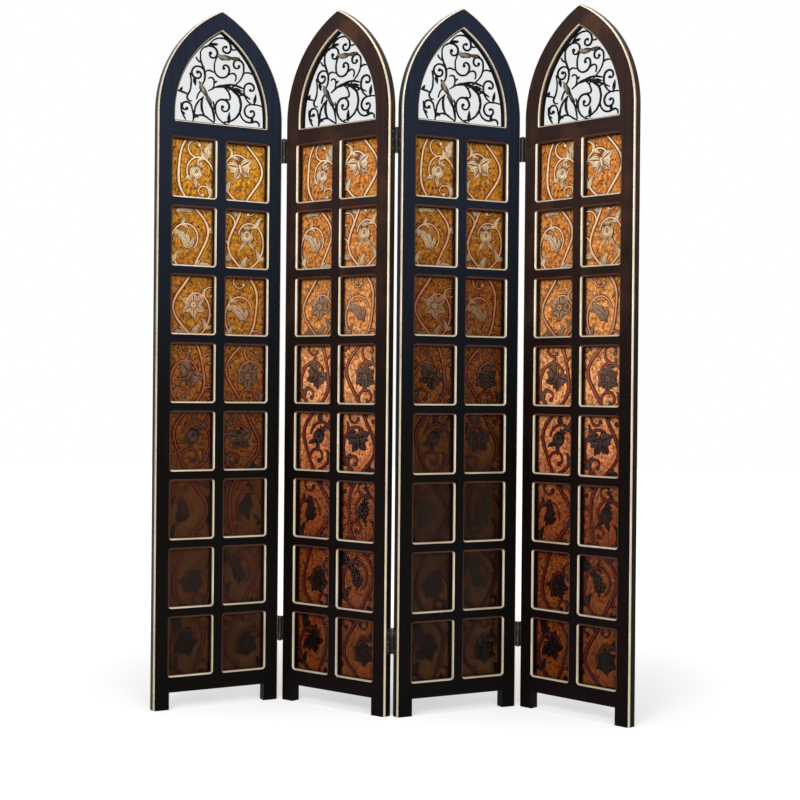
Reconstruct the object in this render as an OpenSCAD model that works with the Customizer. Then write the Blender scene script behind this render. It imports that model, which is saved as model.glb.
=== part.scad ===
// Four-panel folding screen with pointed heads.
// Each panel is a jointed timber frame that holds sixteen picture lights, and a pierced metal
// grille with clear glass in its head. Butt hinges join the panels in a zigzag.
// Panel frame: X runs from the left edge to the right edge, Y from the front face to the back
// face, Z up from the floor. The whole stands on the floor at Z = 0, centred on X and Y.

/* [Lights] */
// Number of rows of lights under the transom
rows = 8; // [2:1:9]
// Sight width of one light
light_w = 136; // [110:1:170]
// Sight height of one light
light_h = 174.5; // [120:0.5:210]

/* [Frame timber] */
// Width of each stile, and of the foot that it ends in
stile_w = 49; // [42:1:64]
// Width of the centre mullion
mullion_w = 37; // [30:1:50]
// Height of each glazing bar between two lights
bar_h = 33; // [28:1:46]
// Height of the bottom rail
rail_h = 50; // [40:1:90]
// Height of the transom between the lights and the head
transom_h = 53; // [44:1:80]
// Clear height under the bottom rail
foot_h = 52; // [30:1:120]
// Thickness of the outer frame, from face to face
frame_t = 30; // [28:1:40]
// Depth of the front lip, ahead of the rebate
lip_t = 19; // [18:0.5:20]
// Width of the rebate behind the lip
rebate_w = 10; // [8:0.5:14]

/* [Pointed head] */
// Width of the curved head timber
head_w = 56; // [50:1:66]
// Radius of the outer arcs, which meet at the point
arch_r = 360; // [300:5:460]
// Straight height from the transom up to where the arcs start
skirt_h = 24; // [16:1:60]

/* [Mouldings] */
// Width of the rounded moulding round each light
rim_w = 6; // [4:0.5:6]
// Height of the small step behind that moulding
rim_step = 1; // [0.6:0.1:1.5]
// Width of the rounded moulding on the outer edges
edge_w = 8; // [5:0.5:10]
// Height of the step behind the outer moulding
edge_step = 1.5; // [0.6:0.1:2]
// Width of the flat between the round of a moulding and the face that it runs into
quirk = 0.3; // [0.2:0.1:0.6]

/* [Frame joints] */
// Thickness of every tenon
tenon_t = 8; // [6:0.5:9]
// Depth of the tenons behind the front face
tenon_y = 9; // [8.5:0.25:10]
// Length of the tenons of the rails, transom and stiles
tenon_l = 22; // [14:1:24]
// Length of the tenons of the mullion and the bars
stub_l = 8; // [5:0.5:10]
// Shoulder left above and below a tenon
shoulder = 8; // [5:0.5:10]
// Clearance of a tenon in its mortise, each side
tenon_gap = 0.15; // [0.05:0.05:0.4]
// Space left at the end of a tenon
tenon_end = 1; // [0.5:0.5:3]

/* [Glazing] */
// Thickness of the clear glass
glass_t = 3; // [2:0.5:3.5]
// Thickness of the picture board behind the glass
board_t = 4; // [2.5:0.5:4]
// Thickness of the pierced grille
grille_t = 3; // [2:0.5:3.5]
// Space round the edge of the glass, board, grille and beads in the rebate
glazing_gap = 0.5; // [0.3:0.1:1]
// Width of the retaining beads
bead_w = 9; // [6:0.5:9]

/* [Grille] */
// Width of a scroll at its middle
scroll_w = 6; // [4:0.2:7]
// Width of a scroll at its thin end
tip_w = 3.6; // [2.4:0.2:4.4]
// Width of the border that shows round the scrolls
border_w = 4; // [2:0.5:6]
// Half the width of the gaps that close up where scrolls meet
seam = 0.1; // [0.05:0.05:0.2]
// How far the birds stand proud of the scrolls, towards the front
bird_relief = 2.5; // [1:0.5:4]

/* [Hinges] */
// Height of the middle of the lower hinges above the floor
low_hinge_z = 223; // [120:1:400]
// Distance of the middle of the upper hinges below the start of the arcs
high_hinge_drop = 89; // [70:1:300]
// Length of a hinge along its pin
hinge_l = 76; // [50:1:100]
// Thickness of a hinge leaf
leaf_t = 2; // [1.5:0.1:2.5]
// Reach of a leaf across the edge of the stile, from the face nearest the pin
leaf_reach = 20; // [18:0.5:20]
// Outer radius of the knuckles
knuckle_r = 4.5; // [4:0.1:5]
// Radius of the hinge pin
pin_r = 2.4; // [2:0.1:2.6]
// Radial clearance of the pin in the knuckles
pin_gap = 0.05; // [0.03:0.01:0.09]
// Distance of the pin's axis from the face of the panel
pin_proud = 4.2; // [4:0.1:6]
// Half of the gap between the two leaves when they close
leaf_gap = 0.3; // [0.2:0.05:0.6]
// Gap between one knuckle and the next
knuckle_gap = 0.3; // [0.2:0.05:0.6]
// Radius of the button at each end of a pin
button_r = 3.6; // [3:0.1:4.4]
// Thickness of that button
button_t = 1.4; // [1:0.1:2.5]

/* [Hinge screws] */
// Radius of a screw's shank
screw_r = 1.5; // [1.2:0.1:1.8]
// Radius of a screw's countersunk head
screw_head_r = 2.9; // [2.4:0.1:3.2]
// Height of the countersunk head
screw_head_h = 1.4; // [1:0.1:1.6]
// Length of a screw in the stile
screw_l = 14; // [8:1:18]
// Radial clearance round a screw
screw_gap = 0.06; // [0.03:0.01:0.1]
// Distance between two screws along the leaf
screw_pitch = 26; // [16:1:32]
// Distance of the middle line of the screws from the face nearest the pin
screw_y = 14.5; // [13.5:0.5:15.5]
// Sideways shift of the middle screw from the two others
screw_shift = 3; // [0:0.5:3]

/* [Standing] */
// Turn of panel 1 about the vertical
turn_1 = 30.5; // [5:0.5:60]
// Turn of panel 2, the other way
turn_2 = 34.5; // [5:0.5:60]
// Turn of panel 3
turn_3 = 28; // [5:0.5:60]
// Turn of panel 4, the other way
turn_4 = 41.5; // [5:0.5:60]

/* [Hidden] */
PANELS = 4;
PANEL_PIECES = [
    "left_stile", "right_stile", "left_head", "right_head", "transom", "bottom_rail", "mullion",
    "bars", "glass", "picture_board", "beads", "grille", "hinge_leaves", "hinge_screws"
];
$fn = 96;

// Small overlap that makes a cut run past the face it starts from
cut = 1;
panel_w = 2 * stile_w + 2 * light_w + mullion_w;
sill_z = foot_h + rail_h;
lights_top = sill_z + rows * light_h + (rows - 1) * bar_h;
head_z = lights_top + transom_h;
spring_z = head_z + skirt_h;
apex_z = spring_z + sqrt(pow(arch_r, 2) - pow(arch_r - panel_w / 2, 2));
head_light_w = panel_w - 2 * head_w;
head_light_h = skirt_h + sqrt(pow(arch_r - head_w, 2) - pow(arch_r - panel_w / 2, 2));
mullion_x = stile_w + light_w;
// Far enough round the head's circle to pass the middle of the panel
head_turn = acos((arch_r - panel_w / 2) / arch_r) + 2;
light_xs = [stile_w, mullion_x + mullion_w];
function light_z(row) = sill_z + row * (light_h + bar_h);

// The pin stands off the edge of each stile by a leaf and half the gap between two leaves
pin_off = leaf_t + leaf_gap;
knuckles = 5;
knuckle_l = hinge_l / knuckles;
// The leaf stops short of the other leaf's knuckles
leaf_start = knuckle_r + 0.4 - pin_proud;
hinge_zs = [low_hinge_z, spring_z - high_hinge_drop];
// The pin lies behind the back faces only between panels 2 and 3
pin_at_back = [false, true, false];

// Placing of the panels: each one is hung on the pin it shares with the one before
turns = [turn_1, -turn_2, turn_3, -turn_4];
function along(a) = [cos(a), sin(a)];
function across(a) = [-sin(a), cos(a)];
function pin_y(j) = pin_at_back[j] ? frame_t + pin_proud : -pin_proud;
function corner(p) = p == 0 ? [0, 0]
    : pin_xy(p - 1) + pin_off * along(turns[p]) - pin_y(p - 1) * across(turns[p]);
function pin_xy(j) = corner(j) + (panel_w + pin_off) * along(turns[j]) + pin_y(j) * across(turns[j]);
plan_corners = [
    for (p = [0:PANELS - 1]) for (x = [0, panel_w]) for (y = [0, frame_t])
        corner(p) + x * along(turns[p]) + y * across(turns[p])
];
plan_xs = [for (c = plan_corners) c[0]];
plan_ys = [for (c = plan_corners) c[1]];
plan_middle = [(min(plan_xs) + max(plan_xs)) / 2, (min(plan_ys) + max(plan_ys)) / 2];

module on_panel(p) {
    c = corner(p - 1) - plan_middle;
    translate([c[0], c[1], 0]) rotate([0, 0, turns[p - 1]]) children();
}

// Turns what is drawn at the left edge of a panel into the same thing at the right edge
module at_right() {
    translate([panel_w, 0, 0]) mirror([1, 0, 0]) children();
}

// Extrudes a front view, drawn in X and Z, over a stretch of the panel's depth
module slab(y, t) {
    translate([0, y + t, 0]) rotate([90, 0, 0]) linear_extrude(t) children();
}

module box(x, y, z) {
    translate([x[0], y[0], z[0]]) cube([x[1] - x[0], y[1] - y[0], z[1] - z[0]]);
}

// Section of what a moulding cutter takes off an edge at the origin.
// X runs into the timber from its edge, Y from the front face back.
module cutter_section(w, step, inner = -cut) {
    r = w - quirk;
    difference() {
        translate([inner, -cut]) square([w - inner, step + r + cut]);
        translate([w, step + r]) circle(r);
    }
}

// Moulding of one side of an opening that lies on the -X side of the timber. The straight run
// goes up from the origin. A quarter turn below it rounds it into the next side.
module rim_run(length) {
    linear_extrude(length) cutter_section(rim_w, rim_step);
}

module rim_turn() {
    rotate([-90, 0, 0]) rotate_extrude(angle = 90) cutter_section(rim_w, rim_step, 0);
}

// Mouldings of the timber on the +X side of a column of lights, whose sight line is at X = 0
module column_cutters() {
    for (row = [0:rows - 1]) translate([0, 0, light_z(row)]) rim_run(light_h);
    for (row = [0:rows - 1]) translate([0, 0, light_z(row)]) rim_turn();
    for (row = [0:rows - 1]) translate([0, 0, light_z(row) + light_h]) mirror([0, 0, 1]) rim_turn();
}

module sill_cutter(x, z, length) {
    translate([x, 0, z]) rotate([0, 90, 0]) rim_run(length);
}

module lintel_cutter(x, z, length) {
    translate([x + length, 0, z]) rotate([0, -90, 0]) rim_run(length);
}

// Front view of the head light, grown past its sight line by a margin
module head_light(grow) {
    reach = arch_r - head_w + grow;
    intersection() {
        translate([arch_r, spring_z]) circle(reach);
        translate([panel_w - arch_r, spring_z]) circle(reach);
        translate([0, spring_z]) square([panel_w, apex_z - spring_z]);
    }
    translate([head_w - grow, head_z - grow]) square([head_light_w + 2 * grow, skirt_h + grow]);
}

// Rebate for the glass and board of the lights, and for the grille of the head
module light_rebate() {
    box([stile_w - rebate_w, panel_w - stile_w + rebate_w], [lip_t, frame_t + cut],
        [sill_z - rebate_w, lights_top + rebate_w]);
}

module head_rebate() {
    box([head_w - rebate_w, panel_w - head_w + rebate_w], [lip_t, frame_t + cut],
        [head_z - rebate_w, head_z + cut]);
}

// A tenon on the end of a level rail, or its mortise when gap is given. Its shoulder is at x
// and it runs towards +X.
module level_tenon(x, z0, z1, length, gap = 0) {
    g = gap > 0 ? tenon_gap : 0;
    box([x - cut, x + length + gap], [tenon_y - g, tenon_y + tenon_t + g],
        [z0 + shoulder - g, z1 - shoulder + g]);
}

// A tenon on the end of an upright, whose shoulder is at z, and which runs up
module upright_tenon(z, x0, x1, length, gap = 0) {
    g = gap > 0 ? tenon_gap : 0;
    box([x0 + shoulder - g, x1 - shoulder + g], [tenon_y - g, tenon_y + tenon_t + g],
        [z - cut, z + length + gap]);
}

// The mortises that a left stile has on its inner side, drawn towards -X from its sight line
module stile_mortises() {
    translate([stile_w, 0, 0]) mirror([1, 0, 0]) {
        level_tenon(0, foot_h, sill_z - rebate_w, tenon_l, tenon_end);
        level_tenon(0, lights_top + rebate_w, head_z - rebate_w, tenon_l, tenon_end);
        for (row = [1:rows - 1])
            level_tenon(0, light_z(row) - bar_h, light_z(row), stub_l, tenon_end);
    }
}

// Pilot holes of the two hinges at the left edge of a panel
module screw_pilots(at_back) {
    for (z = hinge_zs) hinge_side(at_back, z) screw_rows()
        translate([-cut, 0, 0]) rotate([0, 90, 0]) cylinder(r = screw_r + screw_gap, h = screw_l + 2 * cut);
}

// Places a hinge at height z on the left edge of a panel, with its pin ahead of the front face
// or behind the back face
module hinge_side(at_back, z) {
    if (at_back) translate([0, frame_t, z]) mirror([0, 1, 0]) children();
    else translate([0, 0, z]) children();
}

module screw_rows() {
    for (k = [-1:1])
        translate([0, screw_y + (k == 0 ? screw_shift : 0) - screw_shift / 2, k * screw_pitch]) children();
}

// A left stile. The hinge on its outer edge is "none", "front" or "back".
module stile(hinge) {
    color("#15100f") union() {
        difference() {
            box([0, stile_w], [0, frame_t], [0, head_z]);
            translate([0, 0, -cut]) linear_extrude(head_z + 2 * cut) cutter_section(edge_w, edge_step);
            translate([stile_w, 0, 0]) mirror([1, 0, 0]) column_cutters();
            light_rebate();
            head_rebate();
            stile_mortises();
            if (hinge != "none") screw_pilots(hinge == "back");
        }
        upright_tenon(head_z, edge_w, stile_w - rebate_w + shoulder, tenon_l);
    }
}

// Section of the curved head. X runs from its outer edge to its sight edge.
module head_section() {
    difference() {
        square([head_w, frame_t]);
        cutter_section(edge_w, edge_step);
        translate([head_w, 0]) mirror([1, 0]) cutter_section(rim_w, rim_step);
        translate([head_w - rebate_w, lip_t]) square([rebate_w + cut, frame_t]);
    }
}

// Tenon of the left head in the right one, across the mitre at the point
module point_tenon(gap = 0) {
    g = gap > 0 ? tenon_gap : 0;
    depth = apex_z - head_w;
    box([panel_w / 2 - (gap > 0 ? 0 : tenon_l / 2), panel_w / 2 + tenon_l * 0.8 + gap],
        [tenon_y - g, tenon_y + tenon_t + g],
        [depth + shoulder - g, depth + shoulder + tenon_l + g]);
}

module half_head() {
    intersection() {
        union() {
            translate([arch_r, 0, spring_z]) rotate([-90, 0, 0]) rotate([0, 0, 180])
                rotate_extrude(angle = head_turn)
                    translate([arch_r, 0]) mirror([1, 0]) head_section();
            translate([0, 0, head_z]) linear_extrude(skirt_h) head_section();
        }
        box([-cut, panel_w / 2], [-cut, frame_t + cut], [head_z - cut, apex_z + cut]);
    }
}

module head_mortise() {
    upright_tenon(head_z, edge_w, stile_w - rebate_w + shoulder, tenon_l, tenon_end);
}

module left_head() {
    color("#15100f") union() {
        difference() {
            half_head();
            head_mortise();
        }
        point_tenon();
    }
}

module right_head() {
    color("#15100f") at_right() difference() {
        half_head();
        head_mortise();
        at_right() point_tenon(tenon_end);
    }
}

module transom() {
    color("#15100f") union() {
        difference() {
            box([stile_w, panel_w - stile_w], [0, frame_t], [lights_top, head_z]);
            for (x = light_xs) lintel_cutter(x, lights_top, light_w);
            sill_cutter(head_w, head_z, head_light_w);
            translate([panel_w - head_w, 0, head_z]) rim_turn();
            at_right() translate([panel_w - head_w, 0, head_z]) rim_turn();
            translate([mullion_x, 0, lights_top]) mirror([0, 0, 1]) rim_turn();
            at_right() translate([mullion_x, 0, lights_top]) mirror([0, 0, 1]) rim_turn();
            light_rebate();
            head_rebate();
            upright_tenon(lights_top, mullion_x, mullion_x + mullion_w, stub_l, tenon_end);
        }
        rail_tenons(lights_top + rebate_w, head_z - rebate_w);
    }
}

module bottom_rail() {
    color("#15100f") union() {
        difference() {
            box([stile_w, panel_w - stile_w], [0, frame_t], [foot_h, sill_z]);
            for (x = light_xs) sill_cutter(x, sill_z, light_w);
            translate([mullion_x, 0, sill_z]) rim_turn();
            at_right() translate([mullion_x, 0, sill_z]) rim_turn();
            light_rebate();
            translate([0, 0, sill_z]) mirror([0, 0, 1])
                upright_tenon(0, mullion_x, mullion_x + mullion_w, stub_l, tenon_end);
        }
        rail_tenons(foot_h, sill_z - rebate_w);
    }
}

module rail_tenons(z0, z1) {
    level_tenon(panel_w - stile_w, z0, z1, tenon_l);
    at_right() level_tenon(panel_w - stile_w, z0, z1, tenon_l);
}

module mullion() {
    color("#15100f") union() {
        difference() {
            box([mullion_x, mullion_x + mullion_w], [0, lip_t], [sill_z, lights_top]);
            translate([mullion_x, 0, 0]) column_cutters();
            translate([mullion_x + mullion_w, 0, 0]) mirror([1, 0, 0]) column_cutters();
            for (row = [1:rows - 1]) {
                translate([mullion_x, 0, 0])
                    level_tenon(0, light_z(row) - bar_h, light_z(row), stub_l, tenon_end);
                translate([mullion_x + mullion_w, 0, 0]) mirror([1, 0, 0])
                    level_tenon(0, light_z(row) - bar_h, light_z(row), stub_l, tenon_end);
            }
        }
        upright_tenon(lights_top, mullion_x, mullion_x + mullion_w, stub_l);
        translate([0, 0, sill_z]) mirror([0, 0, 1])
            upright_tenon(0, mullion_x, mullion_x + mullion_w, stub_l);
    }
}

// One glazing bar under the light at x, z
module bar(x, z) {
    difference() {
        box([x, x + light_w], [0, lip_t], [z - bar_h, z]);
        sill_cutter(x, z, light_w);
        lintel_cutter(x, z - bar_h, light_w);
    }
    level_tenon(x + light_w, z - bar_h, z, stub_l);
    translate([x, 0, 0]) mirror([1, 0, 0]) level_tenon(0, z - bar_h, z, stub_l);
}

module bars() {
    color("#15100f") for (row = [1:rows - 1]) for (x = light_xs) bar(x, light_z(row));
}

// A flat sheet that fills the rebate behind the lights
module light_sheet(y, t) {
    edge = rebate_w - glazing_gap;
    box([stile_w - edge, panel_w - stile_w + edge], [y, y + t], [sill_z - edge, lights_top + edge]);
}

module glass() {
    color([0.80, 0.88, 0.88, 0.35]) {
        light_sheet(lip_t, glass_t);
        slab(lip_t + grille_t, glass_t) head_light(rebate_w - glazing_gap);
    }
}

module picture_board() {
    color("#a8692c") light_sheet(lip_t + glass_t, board_t);
}

module beads() {
    edge = rebate_w - glazing_gap;
    light_y = lip_t + glass_t + board_t;
    head_y = lip_t + grille_t + glass_t;
    x0 = stile_w - edge;
    z0 = sill_z - edge;
    z1 = lights_top + edge;
    color("#1d1512") {
        for (side = [0, 1]) mirror_if(side) box([x0, x0 + bead_w], [light_y, frame_t], [z0, z1]);
        for (z = [z0, z1 - bead_w])
            box([x0 + bead_w + tenon_gap, panel_w - x0 - bead_w - tenon_gap], [light_y, frame_t], [z, z + bead_w]);
        box([head_w - edge, panel_w - head_w + edge], [head_y, frame_t], [head_z - edge, head_z - edge + bead_w]);
        for (side = [0, 1]) mirror_if(side) slab(head_y, frame_t - head_y) head_bead();
    }
}

module mirror_if(side) {
    if (side == 1) at_right() children();
    else children();
}

// Curved bead of the left half of the head
module head_bead() {
    edge = rebate_w - glazing_gap;
    intersection() {
        difference() {
            head_light(edge);
            head_light(edge - bead_w);
        }
        translate([0, head_z - edge + bead_w + tenon_gap])
            square([panel_w / 2 - tenon_gap, apex_z - head_z]);
    }
}

// Scrollwork of the grille. Its own frame has X = 0 at the middle of the head light and Y = 0
// at the light's lower sight line. Every scroll is a chain of arcs that run on from each other:
// [radius, turn], with a turn to the left positive. It is drawn for a head light of one size,
// and its places spread with the real one.
drawn_w = 295;
drawn_h = 24 + sqrt(pow(304, 2) - pow(156.5, 2));
function fitted(p) = [p[0] * head_light_w / drawn_w, p[1] * head_light_h / drawn_h];
function arc_points(p, heading, radius, turn) =
    let (side = sign(turn), n = ceil(abs(turn) / 24), c = p + radius * along(heading + side * 90))
        [for (k = [1:n]) c + radius * along(heading - side * 90 + turn * k / n)];
function run_on(p, heading, arcs, i = 0) =
    i == len(arcs) ? []
    : let (pts = arc_points(p, heading, arcs[i][0], arcs[i][1]))
        concat(pts, run_on(pts[len(pts) - 1], heading + arcs[i][1], arcs, i + 1));
function path(p, heading, arcs) = concat([p], run_on(p, heading, arcs));
// A volute opens from its eye at the centre c, from radius r0 to r1
function volute_point(c, r0, r1, a0, turn, t) = c + (r0 + (r1 - r0) * pow(t, 0.7)) * along(a0 + turn * t);
function volute(c, r0, r1, a0, turn, arcs) =
    let (
        n = ceil(abs(turn) / 24),
        pts = [for (k = [0:n]) volute_point(c, r0, r1, a0, turn, k / n)],
        last = pts[n],
        before = volute_point(c, r0, r1, a0, turn, 1 - 0.02),
        heading = atan2(last[1] - before[1], last[0] - before[0])
    )
    concat(pts, run_on(last, heading, arcs));
// Width along a scroll, thin at both ends
function swell(t, w) = tip_w + (w - tip_w) * sin(180 * min(1, max(0, t)));
function path_heading(pts, i) =
    let (a = pts[max(0, i - 1)], b = pts[min(len(pts) - 1, i + 1)]) atan2(b[1] - a[1], b[0] - a[0]);

module scroll(drawn, w = scroll_w, eye = 0) {
    pts = [for (p = drawn) fitted(p)];
    last = len(pts) - 1;
    side = [for (i = [0:last]) across(path_heading(pts, i)) * swell(i / last, w) / 2];
    polygon(concat([for (i = [0:last]) pts[i] + side[i]], [for (i = [last:-1:0]) pts[i] - side[i]]));
    translate(pts[0]) circle(eye > 0 ? eye : tip_w / 2, $fn = 12);
    translate(pts[last]) circle(tip_w / 2, $fn = 8);
}

// A leaf of length l, half width w, with its stalk at p
module leaf(p, heading, l, w) {
    n = 6;
    half = [for (k = [0:n]) [l * k / n, max(0.9, w * sin(180 * pow(k / n, 0.75)))]];
    translate(fitted(p)) rotate(heading)
        polygon(concat(half, [for (k = [n:-1:0]) [half[k][0], -half[k][1]]]));
}

module middle_scrolls() {
    scroll(volute([13, 57], 4, 27, -180, 360, [[46, 70], [90, 20]]), eye = 5);
    scroll(path([14, 11], 0, [[56, 205], [150, 12]]), w = scroll_w * 1.15);
    scroll(path([2, 122], -10, [[40, -70], [8, -150]]), w = 5);
    scroll(path([-20, 114], 16, [[120, -30], [200, -18]]), w = 5);
    scroll(path([12, 124], 18, [[90, -42]]), w = 5.4);
    scroll(path([26, 122], -40, [[340, 6], [17, 88]]), w = 5);
    leaf([44, 118], -12, 32, 5);
    leaf([30, 7], 88, 36, 5.4);
}

module right_scrolls() {
    scroll(volute([103, 49], 3, 25, 90, -360, [[80, -26]]), eye = 4);
    scroll(path([67, 46], -88, [[30, 95], [40, 20], [12, -130]]));
    leaf([106, 19], 80, 17, 4.8);
    scroll(volute([101, 122], 4, 21, -90, 270, [[45, 55], [32, 46]]), eye = 4.4);
    leaf([114, 76], 80, 32, 5);
    scroll(volute([58, 190], 5, 20, 330, -330, [[60, -50], [200, -14]]), eye = 4.4);
    scroll(path([77, 166], 40, [[24, -70]]), w = 4.6);
}

module upper_scrolls() {
    scroll(volute([16, 176], 4, 14, 180, -180, [[25, -100], [24, -80], [60, -42]]), eye = 4.6);
    scroll(path([-48, 157], 60, [[15, -90], [16, 40]]), w = 4.8);
    scroll(path([26, 158], 0, [[14, 40], [11, -130], [24, -30]]), w = 4.8);
    scroll(volute([-27, 217], 5, 22, -180, 270, [[34, 80]]), eye = 5.4);
    scroll(path([-58, 118], 52, [[45, 38], [60, 30], [60, -40]]));
    scroll(path([-78, 200], -70, [[24, 60]]), w = 4.6);
    scroll(volute([19, 237], 5, 16, 90, 270, [[27, 90], [45, 66]]), eye = 4.4);
    scroll(path([-46, 234], 50, [[40, -60]]), w = 4.6);
    leaf([-36, 247], -8, 26, 4);
    scroll(path([33, 246], -80, [[12, 130]]), w = 4.8);
    scroll(path([-24, 108], 60, [[40, 40], [10, 130]]), w = 4.8);
    leaf([-20, 128], 30, 14, 3.6);
}

module left_scrolls() {
    scroll(volute([-72.5, 151], 4, 25, 90, -450, []), eye = 5);
    leaf([-84, 138], -78, 26, 5.4);
    scroll(path([-97, 150], -72, [[90, -30], [50, -25], [12, 140]]), w = 5.4);
    scroll(path([-142, 94], -4, [[120, -20]]), w = 5);
    leaf([-128, 92], 62, 15, 4.4);
    scroll(volute([-109, 45], 5, 19, -60, -300, [[200, 8]]), eye = 5);
    scroll(path([-125, 56], -97, [[62, 48]]), w = 5);
    leaf([-124, 30], -30, 15, 4);
    scroll(path([-86, 4], 92, [[120, -22], [60, -40]]), w = 5.4);
    scroll(path([-44, 78], -45, [[94, -46]]), w = 6.4);
    scroll(path([-54, 82], -115, [[60, 60]]), w = 8);
    scroll(path([-57, 105], -140, [[54, 40]]), w = 4.6);
    scroll(path([-85, 11], 58, [[31, -98], [70, 20]]), w = 5.6);
    leaf([-80, 26], -40, 15, 4.6);
    scroll(path([-22, 40], 60, [[30, 60]]), w = 4.6);
}

// Outline of a small bird that looks towards -X, with its breast at the origin. The upper line
// runs from the beak over the back, the lower line from the beak along the belly.
module bird(body, tail) {
    upper = [
        [-17, 3], [-11, 7.5], [-6, 9.5], [-1, 8.5], [5, 7.5], [body * 0.6, 7.5], [body, 5.5],
        [body + tail * 0.5, 2.5], [body + tail, 2]
    ];
    lower = [
        [body + tail, -3.5], [body + tail * 0.5, -3], [body, -3.5], [body * 0.6, -6.5],
        [5, -7.5], [-2, -6], [-7, -1], [-10, 2]
    ];
    polygon(concat(upper, lower));
    translate([body * 0.55, 4]) rotate(-12) scale([2.4, 1]) circle(5, $fn = 20);
}

module upper_bird() {
    translate(fitted([4, 207])) rotate(4) bird(26, 36);
}

module lower_bird() {
    translate(fitted([-61, 110])) rotate(-54) bird(24, 36);
}

module grille() {
    color("#1b1a1a") union() {
        slab(lip_t, grille_t) offset(delta = -seam) offset(delta = seam) {
            difference() {
                head_light(rebate_w - glazing_gap);
                head_light(-border_w);
            }
            intersection() {
                head_light(0);
                translate([panel_w / 2, head_z]) {
                    middle_scrolls();
                    right_scrolls();
                    upper_scrolls();
                    left_scrolls();
                    upper_bird();
                    lower_bird();
                }
            }
        }
        slab(lip_t - bird_relief, bird_relief + cut) translate([panel_w / 2, head_z]) offset(delta = -0.8) {
            upper_bird();
            lower_bird();
        }
    }
}

// One leaf at the left edge of a panel, in a frame whose face nearest the pin is Y = 0 and whose
// middle is Z = 0. Its own knuckles are the odd ones or the even ones, counted from the bottom.
module hinge_leaf(odd) {
    difference() {
        union() {
            box([-leaf_t, 0], [leaf_start, leaf_reach], [-hinge_l / 2, hinge_l / 2]);
            for (k = [0:knuckles - 1]) if ((k % 2 == 0) == odd) {
                z0 = k * knuckle_l - hinge_l / 2 + (k == 0 ? 0 : knuckle_gap / 2);
                z1 = (k + 1) * knuckle_l - hinge_l / 2 - (k == knuckles - 1 ? 0 : knuckle_gap / 2);
                box([-leaf_t, 0], [-pin_proud, leaf_start + cut], [z0, z1]);
                translate([-pin_off, -pin_proud, z0]) cylinder(r = knuckle_r, h = z1 - z0);
            }
        }
        translate([-pin_off, -pin_proud, -hinge_l / 2 - cut])
            cylinder(r = pin_r + pin_gap, h = hinge_l + 2 * cut);
        screw_rows() {
            translate([-leaf_t - cut, 0, 0]) rotate([0, 90, 0])
                cylinder(r = screw_r + screw_gap, h = leaf_t + 2 * cut);
            translate([-leaf_t, 0, 0]) rotate([0, 90, 0])
                cylinder(r1 = screw_head_r + screw_gap, r2 = screw_r + screw_gap, h = screw_head_h);
        }
    }
}

// Which hinges a panel has: [left edge, right edge], each "none", "front" or "back"
function hinge_at(j) = j < 0 || j > PANELS - 2 ? "none" : pin_at_back[j] ? "back" : "front";
function left_hinge(p) = hinge_at(p - 2);
function right_hinge(p) = hinge_at(p - 1);

module hinge_leaves(p) {
    color("#2a2826") {
        if (left_hinge(p) != "none") for (z = hinge_zs) hinge_side(left_hinge(p) == "back", z) hinge_leaf(false);
        if (right_hinge(p) != "none") for (z = hinge_zs)
            at_right() hinge_side(right_hinge(p) == "back", z) hinge_leaf(true);
    }
}

module hinge_screw() {
    translate([-leaf_t, 0, 0]) rotate([0, 90, 0]) {
        cylinder(r1 = screw_head_r, r2 = screw_r, h = screw_head_h);
        cylinder(r = screw_r, h = leaf_t + screw_l);
    }
}

module hinge_screws(p) {
    color("#8d8a84") {
        if (left_hinge(p) != "none") for (z = hinge_zs)
            hinge_side(left_hinge(p) == "back", z) screw_rows() hinge_screw();
        if (right_hinge(p) != "none") for (z = hinge_zs)
            at_right() hinge_side(right_hinge(p) == "back", z) screw_rows() hinge_screw();
    }
}

// The two pins between panel j and the next one, in the frame of panel j
module hinge_pins(j) {
    color("#8d8a84") for (z = hinge_zs) translate([panel_w + pin_off, pin_y(j - 1), z - hinge_l / 2]) {
        cylinder(r = pin_r, h = hinge_l);
        translate([0, 0, -button_t]) cylinder(r = button_r, h = button_t);
        translate([0, 0, hinge_l]) cylinder(r = button_r, h = button_t);
    }
}

for (p = [1:PANELS]) {
    on_panel(p) stile(left_hinge(p));
    on_panel(p) at_right() stile(right_hinge(p));
    on_panel(p) left_head();
    on_panel(p) right_head();
    on_panel(p) transom();
    on_panel(p) bottom_rail();
    on_panel(p) mullion();
    on_panel(p) bars();
    on_panel(p) glass();
    on_panel(p) picture_board();
    on_panel(p) beads();
    on_panel(p) grille();
    on_panel(p) hinge_leaves(p);
    on_panel(p) hinge_screws(p);
}
for (j = [1:PANELS - 1])
    on_panel(j) hinge_pins(j);
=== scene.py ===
"""Looks of a four-panel folding screen with pointed heads.

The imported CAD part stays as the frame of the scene. This script dresses its nodes and adds what the
solids leave out: the embossed vine pictures behind the lights, the fillets that round the lights'
inner corners, the rounded fronts of the scrollwork and the modelled birds of the grilles.

Each panel has its own frame: X from its left edge to its right edge, Y from its front face to its
back face, Z up from the floor. Lengths in the classes are in millimetres, meshes are in metres.
"""

import logging
import math
import random
from dataclasses import dataclass, field
from enum import Enum

import bpy
from mathutils import Matrix, Vector


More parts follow.
